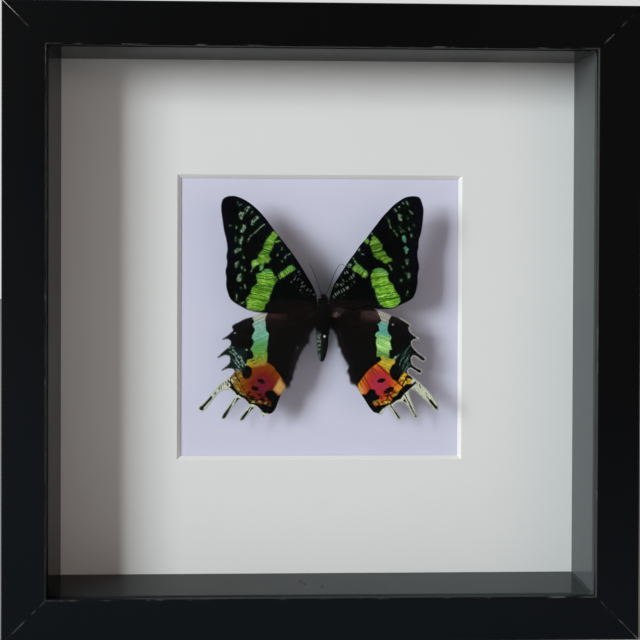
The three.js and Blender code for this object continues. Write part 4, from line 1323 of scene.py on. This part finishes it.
def hindwingFinish(name, bandStops, hotSpot, heat, tealTone, haze, edgePale, rootHighlightTone):
    f = Finish(name)
    band, blaze, lobe, gold = (f.attribute(key) for key in ("band", "blaze", "lobe", "gold"))
    teal, white, ink, worn = (f.attribute(key) for key in ("teal", "white", "ink", "worn"))
    fleckDepth, edge, vein = (f.attribute(key) for key in ("fleck", "edge", "vein"))
    u, v = f.fromBody()
    x = abs(u)
    # streaks that fan out from near the wing's root
    fan = v.maths("ARCTAN2", v + 6.0, x - 8.0) * 26.0 + (f.noise(400.0, 2.0) - 0.5) * 0.8
    streak = f.lines(fan, 1.0, 3.0)

    # where each marking shows, with ragged edges
    ragged = (f.noise(2000.0, 3.0) - 0.5) * 0.9
    bandOn = (band + ragged * 0.9 + (f.lines(v, 1.9, 2.0) - 0.5) * 0.7).rise(-0.15, 0.15)
    blazeOn = (blaze + ragged * 0.9).rise(-0.18, 0.18)
    lobeOn = (lobe + ragged * 1.0).rise(-0.3, 1.5)
    goldOn = (gold + ragged * 1.3).rise(-0.14, 0.14) * f.noise(800.0, 3.0).rise(0.40, 0.52)
    tealOn = (teal + ragged * 0.7).rise(-0.10, 0.10) * f.noise(1300.0, 2.0).rise(0.36, 0.52)
    whiteOn = (white + ragged * 0.6).rise(-0.18, 0.18)
    inkOn = (ink + ragged * 0.45).rise(-0.12, 0.14)
    fleckOn = (fleckDepth + ragged * 0.4).rise(-0.08, 0.10)
    rootHighlightOn = (worn + ragged * 1.3).rise(-0.5, 0.6)

    # the band, cream at the front margin, then turquoise, green and gold
    along = (v + (f.noise(420.0, 3.0) - 0.5) * 3.2 + (x - 25.5) * 0.12) / -24.0 + 0.17
    stripe = f.ramp(along, bandStops)
    slanted = f.lines(v + x * 0.45, 1.3, 3.0).rise(0.47, 0.60)
    stripe = f.mix(slanted * 0.42, stripe, (0.02, 0.10, 0.05))
    stripe = f.mix(f.noise(1300.0, 3.0).rise(0.56, 0.70) * 0.30, stripe, (0.50, 0.66, 0.45))

    # the fiery patch, crimson at its middle, with rays and dark lace
    aside, below = u - hotSpot[0], v - hotSpot[1]
    away = (aside * aside + below * below * 0.8) ** 0.5
    away = away + (streak - 0.5) * 4.0
    fire = f.ramp(away / 16.0, [(0.12, (0.36, 0.024, 0.060)), (0.26, (0.44, 0.026, 0.018)),
                                (0.42, (0.52, 0.085, 0.008)), (0.60, (0.62, 0.21, 0.012)),
                                (0.82, (0.50, 0.30, 0.02))])
    darkRays = streak.rise(0.52, 0.59) * away.rise(2.0, 6.0)
    brightRays = streak.rise(0.46, 0.40) * away.rise(4.0, 9.0)
    fire = f.mix(darkRays * (0.85 * heat), fire, (0.12, 0.020, 0.005))
    fire = f.mix(brightRays * (0.75 * heat), fire, (0.86, 0.40, 0.02))
    web = f.cells(430.0, (1.0, 1.0, 1.25), "Distance", "DISTANCE_TO_EDGE").rise(0.19, 0.07)
    low = (v + (x - 25.0) * -0.12).rise(-29.0, -32.5)
    fire = f.mix(web * low * f.noise(600.0, 2.0).rise(0.38, 0.55) * 0.92, fire, (0.004, 0.002, 0.002))
    fire = f.scaled(fire, heat)
    amber = f.mix(streak, (0.44, 0.19, 0.03), (0.62, 0.42, 0.16))

    # black ground with a brown root and a paler front margin
    dark = f.mix(f.noise(340.0, 4.0), (0.0010, 0.0009, 0.0009), (0.0030, 0.0024, 0.0024))
    root = v.rise(-7.0, 1.0) * x.rise(27.0, 17.0)
    dark = f.mix(root * 0.85, dark, (0.0062, 0.0031, 0.0029))
    blush = x.rise(9.0, 23.5) * v.rise(-3.5, 3.2)
    blush = blush * blush * f.noise(500.0, 3.0).rise(0.25, 0.60) * (0.40 + 0.55 * heat)
    dark = f.mix(blush, dark, (0.100, 0.052, 0.050))
    dark = f.mix(edge.rise(2.5, 0.4) * 0.7, dark, (0.0055, 0.0050, 0.0075))
    outward = v.rise(-11.0, -13.0) * v.rise(-24.0, -20.0) * x.rise(30.5, 33.0)
    dark = f.mix(outward * haze, dark, (0.004, 0.020, 0.015))

    # painted highlight at the wing root, pink on the right wing and faint on the left
    colour = f.mix(rootHighlightOn, dark, rootHighlightTone)
    colour = f.mix(bandOn, colour, stripe)
    colour = f.mix(blazeOn * (1.0 - bandOn * 0.6), colour, fire)
    colour = f.mix(lobeOn * blazeOn, colour, amber)
    bright = 0.4 + 0.6 * heat
    gilt = f.mix(f.noise(900.0, 2.0).rise(0.40, 0.60),
                 (0.46 * bright, 0.32 * bright, 0.015), (0.58 * bright, 0.60 * bright, 0.11))
    lace = f.cells(640.0, (1.0, 1.0, 1.0), "Distance", "DISTANCE_TO_EDGE").rise(0.14, 0.05)
    gilt = f.mix(lace * 0.9, gilt, (0.006, 0.004, 0.002))
    colour = f.mix(goldOn, colour, gilt)
    colour = f.mix(tealOn, colour, f.mix(streak.rise(0.4, 0.6), dimmed(tealTone, 0.4), tealTone))
    bone = f.mix(f.noise(500.0, 3.0), (0.38, 0.42, 0.32), (0.62, 0.65, 0.53))
    colour = f.mix(whiteOn, colour, bone)
    colour = f.mix(inkOn * 0.98, colour, (0.0018, 0.0017, 0.0018))
    colour = f.mix(fleckOn, colour, (0.36, 0.44, 0.38))
    trim = edge.rise(0.30, 0.06) * v.rise(1.0, -1.0) * x.rise(24.0, 30.0)
    colour = f.mix(trim * edgePale, colour, (0.50, 0.47, 0.46))
    colour = f.scaled(colour, scaleDust(f))
    lit = bandOn.higher(blazeOn).higher(goldOn) * (1.0 - inkOn)
    relief = scaleRelief(f, vein) + streak * lit * 0.8
    return f.done(f.principled({
        "Base Color": colour, "Roughness": 0.70 - lit * 0.14, "Metallic": lit * 0.18,
        "Specular IOR Level": 0.02, "Normal": f.bump(relief, scalesIs["bump"], 0.55),
    }))


forewingLooks = {
    "left": {
        "brightness": 0.72,
        "upper": 0.72,  # brightness of the upper bands
        "minted": 0.80,  # brightness of the pale marks
        "dashTurn": 46,
        "dashShare": (0.42, 0.54),
        "dashTone": (0.12, 0.14, 0.135),
    },
    "right": {
        "brightness": 1.02,
        "upper": 0.74,
        "minted": 0.64,
        "dashTurn": -56,
        "dashShare": (0.30, 0.46),
        "dashTone": (0.17, 0.235, 0.19),
    },
}
hindwingLooks = {
    "left": {
        "bandStops": [  # the band's colours from the front margin down
            (0.03, (0.52, 0.47, 0.44)), (0.14, (0.50, 0.52, 0.46)),
            (0.24, (0.24, 0.46, 0.40)), (0.44, (0.20, 0.50, 0.38)),
            (0.56, (0.10, 0.36, 0.14)), (0.72, (0.11, 0.31, 0.04)),
            (0.82, (0.18, 0.27, 0.015)), (0.95, (0.38, 0.23, 0.012)),
        ],
        "hotSpot": (-24.5, -27.4),  # middle of the fiery patch
        "heat": 0.36,
        "tealTone": (0.26, 0.39, 0.34),
        "haze": 0.6,
        "edgePale": 0.25,
        # tone of a faint painted highlight at the wing's root
        "rootHighlightTone": (0.050, 0.030, 0.036),
    },
    "right": {
        "bandStops": [
            (0.06, (0.38, 0.34, 0.315)), (0.19, (0.36, 0.35, 0.32)),
            (0.25, (0.12, 0.36, 0.32)), (0.40, (0.12, 0.42, 0.34)),
            (0.47, (0.20, 0.48, 0.15)), (0.64, (0.44, 0.80, 0.24)),
            (0.78, (0.10, 0.26, 0.05)), (0.90, (0.56, 0.40, 0.015)),
        ],
        "hotSpot": (23.2, -26.4),
        "heat": 1.08,
        "tealTone": (0.085, 0.20, 0.165),
        "haze": 0.25,
        "edgePale": 1.0,
        # tone of a pink painted highlight at the wing's root
        "rootHighlightTone": (0.36, 0.26, 0.26),
    },
}
foreFinish = {}
for side, look in forewingLooks.items():
    foreFinish[side] = forewingFinish(f"forewing_scales_{side}", **look)
hindFinish = {}
for side, look in hindwingLooks.items():
    hindFinish[side] = hindwingFinish(f"hindwing_scales_{side}", **look)
wings = {
    "forewing_left": ("fore", foreLeftEdge, foreLeftMarks, foreFinish["left"]),
    "forewing_right": ("fore", foreRightEdge, foreRightMarks, foreFinish["right"]),
    "hindwing_left": ("hind", hindLeftEdge, hindLeftMarks, hindFinish["left"]),
    "hindwing_right": ("hind", hindRightEdge, hindRightMarks, hindFinish["right"]),
}
rims = {node: buildWing(node, *parts) for node, parts in wings.items()}
print("wings ready")


bodyIs = {
    "height": 16.0,
    "flatness": 0.92,
    "outline": [  # along the body, half width
        (-17.3, 0.14), (-17.0, 0.42), (-16.2, 0.86), (-14.5, 1.5), (-12.5, 1.95), (-10.0, 2.25),
        (-7.0, 2.35), (-4.6, 2.15), (-3.4, 2.2), (-1.8, 2.65), (0.0, 2.95), (2.5, 3.0), (4.6, 2.75),
        (6.2, 2.2), (7.2, 1.5), (7.7, 1.45), (8.3, 1.65), (9.2, 1.6), (10.0, 1.2), (10.5, 0.5),
    ],
    "lean": -0.55,  # the tail's place to the side
    "segments": 7,  # rings of the abdomen
    "abdomenFront": -4.4,
    "abdomenRear": -16.4,
    "step": 0.07,  # each ring ends this much wider than the next begins
    "sides": 40,
}


def bodyRadius(v):
    along, wide = zip(*bodyIs["outline"])
    return np.interp(v, along, wide)


def bodyLean(v):
    return bodyIs["lean"] * np.clip((-v - 2) / 15, 0, 1)


def bodyRings():
    # places and half widths of the rings from tail to head
    found = []
    nose = bodyIs["outline"][-1][0]
    front, rear, count = bodyIs["abdomenFront"], bodyIs["abdomenRear"], bodyIs["segments"]
    length = (front - rear) / count
    for v in (-17.3, -17.1, -16.8):
        found.append((v, bodyRadius(v)))
    for i in range(count):
        start = rear + i * length
        for part, grow in ((0.02, 1 + bodyIs["step"]), (0.35, 1.02), (0.7, 1.0), (0.93, 0.985)):
            found.append((start + part * length, bodyRadius(start + part * length) * grow))
    for v in np.arange(front + 0.3, nose, 0.45):
        found.append((v, bodyRadius(v)))
    found.append((nose, bodyRadius(nose)))
    return found


def coatFinish(name, darkTone, brownTone, paleShare):
    # down and scales: grey green on the left flank, brown at the wing roots, else near black
    f = Finish(name)
    u, v = f.fromBody()
    speck = f.noise(1900.0, 3.0, stretch=(1.0, 1.0, 0.6))
    flank = u.rise(-0.80, -1.40) * u.rise(-3.8, -3.5) * v.rise(-4.0, -6.5)
    tealTone = f.mix(speck.rise(0.50, 0.60), (0.005, 0.008, 0.008), (0.24, 0.31, 0.285))
    rearTone = f.mix(v.rise(-8.0, -13.0), (0.030, 0.030, 0.032), (0.008, 0.042, 0.028))
    colour = f.mix(f.noise(700.0, 3.0), darkTone, dimmed(darkTone, 2.2))
    colour = f.mix(v.rise(-6.0, -9.0) * 0.22 * paleShare, colour, rearTone)
    colour = f.mix(flank * paleShare, colour, tealTone)
    roots = abs(u).rise(2.6, 4.5) * v.rise(-9.0, -3.0)
    colour = f.mix(roots, colour, brownTone)
    # painted highlights on both shoulders: a bright pink one with a fainter spread on the right, and a
    # faint brown one on the left
    thin = (u - 6.6) * (u - 6.6) * 0.5 + (v - 3.8) * (v - 3.8)
    thin = thin.rise(4.5, 0.3) * f.noise(700.0, 3.0).rise(0.30, 0.62)
    colour = f.mix(thin * 0.5, colour, (0.085, 0.060, 0.066))
    brown = (u + 4.9) * (u + 4.9) + (v - 1.9) * (v - 1.9) * 1.8
    colour = f.mix(brown.rise(3.0, 0.3) * 0.45, colour, (0.060, 0.036, 0.036))
    shoulderHighlight = (u - 5.1) * (u - 5.1) * 0.6 + (v - 2.0) * (v - 2.0) * 1.5
    colour = f.mix(shoulderHighlight.rise(3.4, 0.2) * f.noise(900.0, 3.0).rise(0.30, 0.58), colour, (0.30, 0.22, 0.22))
    return f.done(f.principled({
        "Base Color": colour, "Roughness": 0.62, "Specular IOR Level": 0.06,
        "Normal": f.bump(f.noise(2600.0, 3.0, stretch=(1.0, 1.0, 0.35)), 0.00012, 0.7),
    }))


skinFinish = coatFinish("body_skin", (0.0010, 0.0012, 0.0012), (0.0034, 0.0018, 0.0017), 0.9)
furFinish = coatFinish("body_fur", (0.0013, 0.0014, 0.0015), (0.0062, 0.0034, 0.0032), 1.0)


def buildBody():
    rings = bodyRings()
    tidySelection()
    v, wide = rings[0]
    bpy.ops.mesh.primitive_circle_add(
        vertices=bodyIs["sides"], radius=wide * mm, fill_type="NGON",
        location=atMoth(bodyLean(v), v, bodyIs["height"]))
    body = newest("moth_body_piece")
    bpy.ops.object.mode_set(mode="EDIT")
    bpy.ops.mesh.select_all(action="SELECT")
    bpy.ops.transform.resize(value=(1, bodyIs["flatness"], 1))
    for (vOld, wideOld), (vNew, wideNew) in zip(rings, rings[1:]):
        step = ((bodyLean(vNew) - bodyLean(vOld)) * mm, 0, (vNew - vOld) * mm)
        bpy.ops.mesh.extrude_region_move(TRANSFORM_OT_translate={"value": step})
        grow = wideNew / wideOld
        bpy.ops.transform.resize(value=(grow, grow, 1))
    bpy.ops.mesh.select_all(action="SELECT")
    bpy.ops.mesh.normals_make_consistent(inside=False)
    settle(body, skinFinish, 60)
    return body


standsFor(buildBody(), "body_hair", "moth_body")


def eyeFinish():
    f = Finish("moth_eye")
    facets = f.cells(9000.0)
    colour = f.mix(f.noise(900.0, 3.0), (0.006, 0.004, 0.003), (0.02, 0.013, 0.010))
    return f.done(f.principled({
        "Base Color": colour, "Roughness": 0.18, "Specular IOR Level": 0.5,
        "Normal": f.bump(facets, 0.00002, 0.4),
    }))


eyeIs = {
    "radius": 0.86,
    "scale": (0.86, 0.95, 1.12),
    "place": (1.12, 9.0, 0.35),  # to the side, along the body and up from its axis
}
eye = eyeFinish()
for name, sign in (("left", -1), ("right", 1)):
    tidySelection()
    aside, ahead, up = eyeIs["place"]
    bpy.ops.mesh.primitive_uv_sphere_add(
        segments=28, ring_count=18, radius=eyeIs["radius"] * mm,
        location=atMoth(sign * aside, ahead, bodyIs["height"] + up))
    ball = newest(f"eye_{name}")
    ball.scale = eyeIs["scale"]
    settle(ball, eye, 60)
    standsFor(ball, "body_hair")
print("body ready")


def hairPiece(name, roots, ways, lengths, widths, droop, finish, seed):
    # closed three-sided blades that taper to a point and bend, on roots (u, v, h)
    dice = np.random.default_rng(seed)
    ways = ways / np.linalg.norm(ways, axis=1, keepdims=True)
    across = np.cross(ways, dice.normal(size=ways.shape))
    across /= np.linalg.norm(across, axis=1, keepdims=True)
    over = np.cross(ways, across)
    droop = np.broadcast_to(droop, ways.shape)
    rows = []
    for part, girth in ((0.0, 0.8), (0.5, 1.0)):
        middle = roots + (ways * part + droop * part ** 2) * lengths[:, None]
        for turn in (0, 2 * math.pi / 3, 4 * math.pi / 3):
            spoke = across * math.cos(turn) + over * math.sin(turn)
            rows.append(middle + spoke * widths[:, None] * girth * 0.5)
    rows.append(roots + (ways + droop) * lengths[:, None])
    points = np.stack(rows, axis=1).reshape(-1, 3)
    pattern = [(2, 1, 0), (0, 1, 4, 3), (1, 2, 5, 4), (2, 0, 3, 5), (3, 4, 6), (4, 5, 6), (5, 3, 6)]
    faces = [tuple(7 * i + k for k in face) for i in range(len(roots)) for face in pattern]
    piece = meshPiece(name, [atMoth(*point) for point in points], faces, finish)
    standsFor(piece, "body_hair")
    print(name, len(roots), "hairs")
    return piece


furIs = {
    "thorax": (5200, (0.7, 1.9), 0.085),  # number, lengths and width in millimetres
    "abdomen": (5200, (0.30, 0.62), 0.12),
    "roots": (3600, (1.6, 3.6), 0.085),  # each side
    "margin": (6500, (0.8, 4.0), 0.036),  # each side
    "widths": (0.7, 1.2),  # from hair to hair
    "tufts": 46,
}


def bodyHair(name, key, span, lift, seed):
    count, lengths, width = furIs[key]
    dice = np.random.default_rng(seed)
    v = dice.uniform(*span, count)
    turn = np.radians(dice.uniform(-35, 215, count))
    out = np.stack([np.cos(turn), np.zeros(count), np.sin(turn) * bodyIs["flatness"]], axis=1)
    roots = out * (bodyRadius(v) - 0.05)[:, None]
    roots[:, 0] += bodyLean(v)
    roots[:, 1] = v
    roots[:, 2] += bodyIs["height"]
    back = np.array([0.0, -1.0, 0.0])
    ways = back + out * (lift + dice.normal(0, 0.14, count))[:, None] + dice.normal(0, 0.16, (count, 3))
    size = dice.uniform(*lengths, count)
    widths = width * dice.uniform(*furIs["widths"], count)
    return hairPiece(name, roots, ways, size, widths, (0, -0.12, -0.06), furFinish, seed)


bodyHair("thorax_hair", "thorax", (-5.0, 9.6), 0.55, 3)
bodyHair("abdomen_scales", "abdomen", (-16.6, -4.6), 0.22, 4)

marginFinish = coatFinish("margin_fur", (0.0085, 0.0058, 0.0062), (0.0130, 0.0075, 0.0075), 0.0)
innerMargins = {
    "left": [
        (-3.0, -1.8), (-4.4, -3.3), (-5.4, -5.1), (-6.7, -9.4), (-8.6, -11.9), (-10.4, -15.1),
        (-11.8, -18.7), (-12.7, -21.9), (-13.4, -24.7), (-14.3, -26.6),
    ],
    "right": [
        (3.4, -1.7), (4.9, -3.7), (6.3, -5.8), (7.1, -9.4), (8.5, -13.0), (9.6, -15.5), (11.4, -18.3),
        (11.6, -22.2), (12.5, -25.6), (13.9, -26.7),
    ],
}


def pointsAlong(line, amounts):
    # places and directions at the given shares of a chain's length
    line = np.array(line, float)
    steps = np.linalg.norm(np.diff(line, axis=0), axis=1)
    reach = np.concatenate([[0], np.cumsum(steps)])
    at = amounts * reach[-1]
    place = np.stack([np.interp(at, reach, line[:, k]) for k in (0, 1)], axis=1)
    ahead = np.stack([np.interp(at + 0.6, reach, line[:, k]) for k in (0, 1)], axis=1)
    behind = np.stack([np.interp(at - 0.6, reach, line[:, k]) for k in (0, 1)], axis=1)
    way = ahead - behind
    return place, way / np.maximum(np.linalg.norm(way, axis=1, keepdims=True), 1e-6)


def rootHair(side, sign, dice):
    # brown down over the wing roots
    count, lengths, width = furIs["roots"]
    u = sign * (2.4 + 10.5 * dice.random(count) ** 1.7)
    v = dice.uniform(-2.8, 5.4, count) * (1 - np.abs(u) / 40)
    flat = np.stack([u, v], axis=1)
    height = np.where(v > 2.7, wingSkin(flat, "fore")[0], wingSkin(flat, "hind")[0])
    roots = np.stack([u, v, height + 0.02], axis=1)
    ways = np.stack([np.full(count, sign * 1.0), -0.55 + 0.12 * v, np.full(count, 0.30)], axis=1)
    ways = ways + dice.normal(0, 0.22, ways.shape) * (1, 1, 0.5)
    size = dice.uniform(*lengths, count)
    widths = width * dice.uniform(*furIs["widths"], count)
    hairPiece(f"root_hair_{side}", roots, ways, size, widths, (0, -0.1, -0.16), furFinish, 31 + sign)


def marginHair(side, sign, line, dice):
    # soft uneven hair along the inner margin
    count, lengths, width = furIs["margin"]
    tufts = dice.random(furIs["tufts"])
    amounts = tufts[dice.integers(0, furIs["tufts"], count)] + dice.normal(0, 0.022, count)
    amounts = np.clip(amounts, 0, 1)
    amounts = np.where(dice.random(count) < 0.85, dice.random(count), amounts)
    line = np.array(line)
    place, way = pointsAlong(seated(line, wingSkin(line, "hind")[0], "hind"), amounts)
    inward = np.stack([-way[:, 1], way[:, 0]], axis=1) * -sign
    place = place + inward * -dice.uniform(-0.1, 1.1, count)[:, None]
    height = wingSkin(place, "hind")[0]
    roots = np.stack([place[:, 0], place[:, 1], height + 0.02], axis=1)
    spread = 0.50 + 0.12 * np.sin(amounts * 61 + sign) + dice.normal(0, 0.26, count)
    flatWay = way + inward * spread[:, None]
    ways = np.stack([flatWay[:, 0], flatWay[:, 1], dice.normal(-0.08, 0.12, count)], axis=1)
    size = dice.uniform(*lengths, count) * (0.85 + 0.18 * np.sin(amounts * 43 + 2 * sign))
    widths = width * dice.uniform(*furIs["widths"], count)
    hairPiece(f"margin_hair_{side}", roots, ways, size, widths, (0, -0.05, -0.04), marginFinish, 41 + sign)


for side, line in innerMargins.items():
    sign = -1 if side == "left" else 1
    dice = np.random.default_rng(20 + sign)
    rootHair(side, sign, dice)
    marginHair(side, sign, line, dice)


def fringeFinish(name, first, second):
    f = Finish(name)
    colour = f.mix(f.noise(1400.0, 3.0).rise(0.35, 0.65), first, second)
    return f.done(f.principled({
        "Base Color": colour, "Roughness": 0.7, "Specular IOR Level": 0.04,
        "Normal": f.bump(f.noise(4000.0, 2.0), 0.00003, 0.4),
    }))


def fringe(name, rim, kind, keep, lengths, spacing, width, finish, seed):
    # blades standing off the rim wherever keep(u, v) holds
    dice = np.random.default_rng(seed)
    closed = np.concatenate([rim, rim[:1]])
    walk = np.concatenate([[0], np.cumsum(np.linalg.norm(np.diff(closed, axis=0), axis=1))])
    at = np.arange(0, walk[-1], spacing)
    place = np.stack([np.interp(at, walk, closed[:, k]) for k in (0, 1)], axis=1)
    step = np.roll(place, -2, axis=0) - np.roll(place, 2, axis=0)
    out = np.stack([step[:, 1], -step[:, 0]], axis=1)
    area = np.sum(rim[:, 0] * np.roll(rim[:, 1], -1) - np.roll(rim[:, 0], -1) * rim[:, 1])
    out = out * np.sign(area) / np.maximum(np.linalg.norm(out, axis=1, keepdims=True), 1e-6)
    chosen = np.array([keep(u, v) for u, v in place])
    place, out = place[chosen], out[chosen]
    height = wingSkin(place, kind)[0] - wingIs["thickness"] / 2
    roots = np.stack([place[:, 0] - out[:, 0] * 0.15, place[:, 1] - out[:, 1] * 0.15, height], axis=1)
    ways = np.stack([out[:, 0], out[:, 1], np.zeros(len(out))], axis=1)
    ways = ways + dice.normal(0, 0.16, (len(out), 3))
    size = dice.uniform(*lengths, len(out))
    widths = width * dice.uniform(*furIs["widths"], len(out))
    return hairPiece(name, roots, ways, size, widths, (0, 0, -0.05), finish, seed)


darkFringe = fringeFinish("dark_fringe", (0.003, 0.003, 0.004), (0.010, 0.010, 0.014))
paleFringe = fringeFinish("pale_fringe", (0.30, 0.29, 0.29), (0.60, 0.58, 0.56))
greenFringe = fringeFinish("tail_fringe", (0.40, 0.46, 0.33), (0.66, 0.70, 0.58))


def onOuterFore(u, v):
    return abs(u) > 22 and v < 46 + (abs(u) - 36) * 2 and abs(u) > 20 + v * 0.32


def onTeeth(u, v):
    return abs(u) > 28 and -23.5 < v < 0.5


def onTails(u, v):
    return abs(u) > 23.5 and v <= -23.5


fringes = [  # piece, wing, shape, where, lengths, spacing, width, finish
    ("fringe_fore_left", "forewing_left", "fore", onOuterFore, (0.35, 0.6), 0.085, 0.10, darkFringe),
    ("fringe_fore_right", "forewing_right", "fore", onOuterFore, (0.35, 0.6), 0.085, 0.10, darkFringe),
    ("fringe_teeth_left", "hindwing_left", "hind", onTeeth, (0.30, 0.55), 0.085, 0.09, darkFringe),
    ("fringe_teeth_right", "hindwing_right", "hind", onTeeth, (0.55, 0.95), 0.06, 0.11, paleFringe),
    ("fringe_tails_left", "hindwing_left", "hind", onTails, (0.40, 0.75), 0.07, 0.10, greenFringe),
    ("fringe_tails_right", "hindwing_right", "hind", onTails, (0.50, 0.85), 0.07, 0.10, greenFringe),
]
for seed, (name, wing, *rest) in enumerate(fringes, start=51):
    fringe(name, rims[wing], *rest, seed)


feelerIs = {
    "thick": 0.2,  # at the root
    "thin": 0.085,
    "rings": 46,
    "sides": 10,
    "left": [(-0.9, 10.2, 16.8), (-2.3, 14.4, 17.3), (-3.8, 18.8, 17.8), (-5.0, 21.6, 18.2),
             (-6.0, 23.2, 18.4)],
    "right": [(1.1, 10.2, 16.8), (2.7, 14.2, 17.3), (4.1, 18.2, 17.8), (5.6, 21.2, 18.2),
              (6.8, 22.9, 18.4), (7.7, 22.9, 18.5), (8.5, 22.0, 18.5)],
}


def feelerFinish():
    f = Finish("feeler")
    across, along = f.fromBody()
    ringed = f.lines(along, 5.0, 1.0)
    colour = f.mix(ringed.rise(0.42, 0.6), (0.010, 0.007, 0.006), (0.040, 0.028, 0.024))
    return f.done(f.principled({
        "Base Color": colour, "Roughness": 0.5, "Specular IOR Level": 0.2,
        "Normal": f.bump(ringed, 0.00004, 0.6),
    }))


def buildFeeler(side, finish):
    knots = np.array(feelerIs[side])
    reach = np.concatenate([[0], np.cumsum(np.linalg.norm(np.diff(knots, axis=0), axis=1))])
    at = np.linspace(0, reach[-1], feelerIs["rings"])
    route = np.stack([np.interp(at, reach, knots[:, k]) for k in range(3)], axis=1)
    for _ in range(6):  # round the corners
        route[1:-1] = route[1:-1] * 0.5 + (route[:-2] + route[2:]) * 0.25
    way = np.gradient(route, axis=0)
    way /= np.linalg.norm(way, axis=1, keepdims=True)
    across = np.cross(way, (0, 0, 1.0))
    across /= np.linalg.norm(across, axis=1, keepdims=True)
    over = np.cross(way, across)
    share = np.linspace(0, 1, len(route))
    thick = feelerIs["thick"] + (feelerIs["thin"] - feelerIs["thick"]) * share ** 0.8
    thick = thick * (1 + 0.08 * (np.arange(len(route)) % 2))
    sides = feelerIs["sides"]
    points = []
    for centre, a, b, r in zip(route, across, over, thick):
        for k in range(sides):
            turn = 2 * math.pi * k / sides
            points.append(atMoth(*(centre + r * (a * math.cos(turn) + b * math.sin(turn)))))
    faces = [tuple(range(sides))[::-1], tuple(range(len(points) - sides, len(points)))]
    for i in range(len(route) - 1):
        for k in range(sides):
            j = (k + 1) % sides
            faces.append((i * sides + k, i * sides + j, (i + 1) * sides + j, (i + 1) * sides + k))
    piece = meshPiece(f"antenna_{side}_piece", points, faces, finish)
    standsFor(piece, "body_hair", f"antenna_{side}")


feeler = feelerFinish()
buildFeeler("left", feeler)
buildFeeler("right", feeler)


pinIs = {
    "radius": 0.2,
    "point": 0.15,  # share of the radius left at the point
    "headRadius": 0.58,
    "headSet": 0.6,  # from the pin's front to the head's middle
    "tone": 0.62,
}


def buildPin():
    # plain steel pin with a small round head
    low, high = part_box("specimen_pin")
    middle = (low + high) / 2
    headY = low.y + pinIs["headSet"] * mm
    tidySelection()
    bpy.ops.mesh.primitive_cylinder_add(
        vertices=24, radius=pinIs["radius"] * mm, depth=high.y - headY,
        location=(middle.x, (high.y + headY) / 2, middle.z), rotation=(math.pi / 2, 0, 0))
    shaft = newest("specimen_pin_piece")
    settle(shaft)
    bpy.context.view_layer.objects.active = shaft
    pickFaces(shaft, lambda c, n: n.y > 0.9)
    bpy.ops.transform.resize(value=(pinIs["point"], 1, pinIs["point"]))
    bpy.ops.object.mode_set(mode="OBJECT")
    bpy.ops.mesh.primitive_uv_sphere_add(
        segments=32, ring_count=20, radius=pinIs["headRadius"] * mm, location=(middle.x, headY, middle.z))
    head = newest("pin_head")
    settle(head)
    head.select_set(True)
    shaft.select_set(True)
    bpy.context.view_layer.objects.active = shaft
    bpy.ops.object.join()
    settle(shaft, steelFinish("pin_steel", pinIs["tone"]), 40)
    return shaft


standsFor(buildPin(), "steel", "specimen_pin")
print("moth ready")
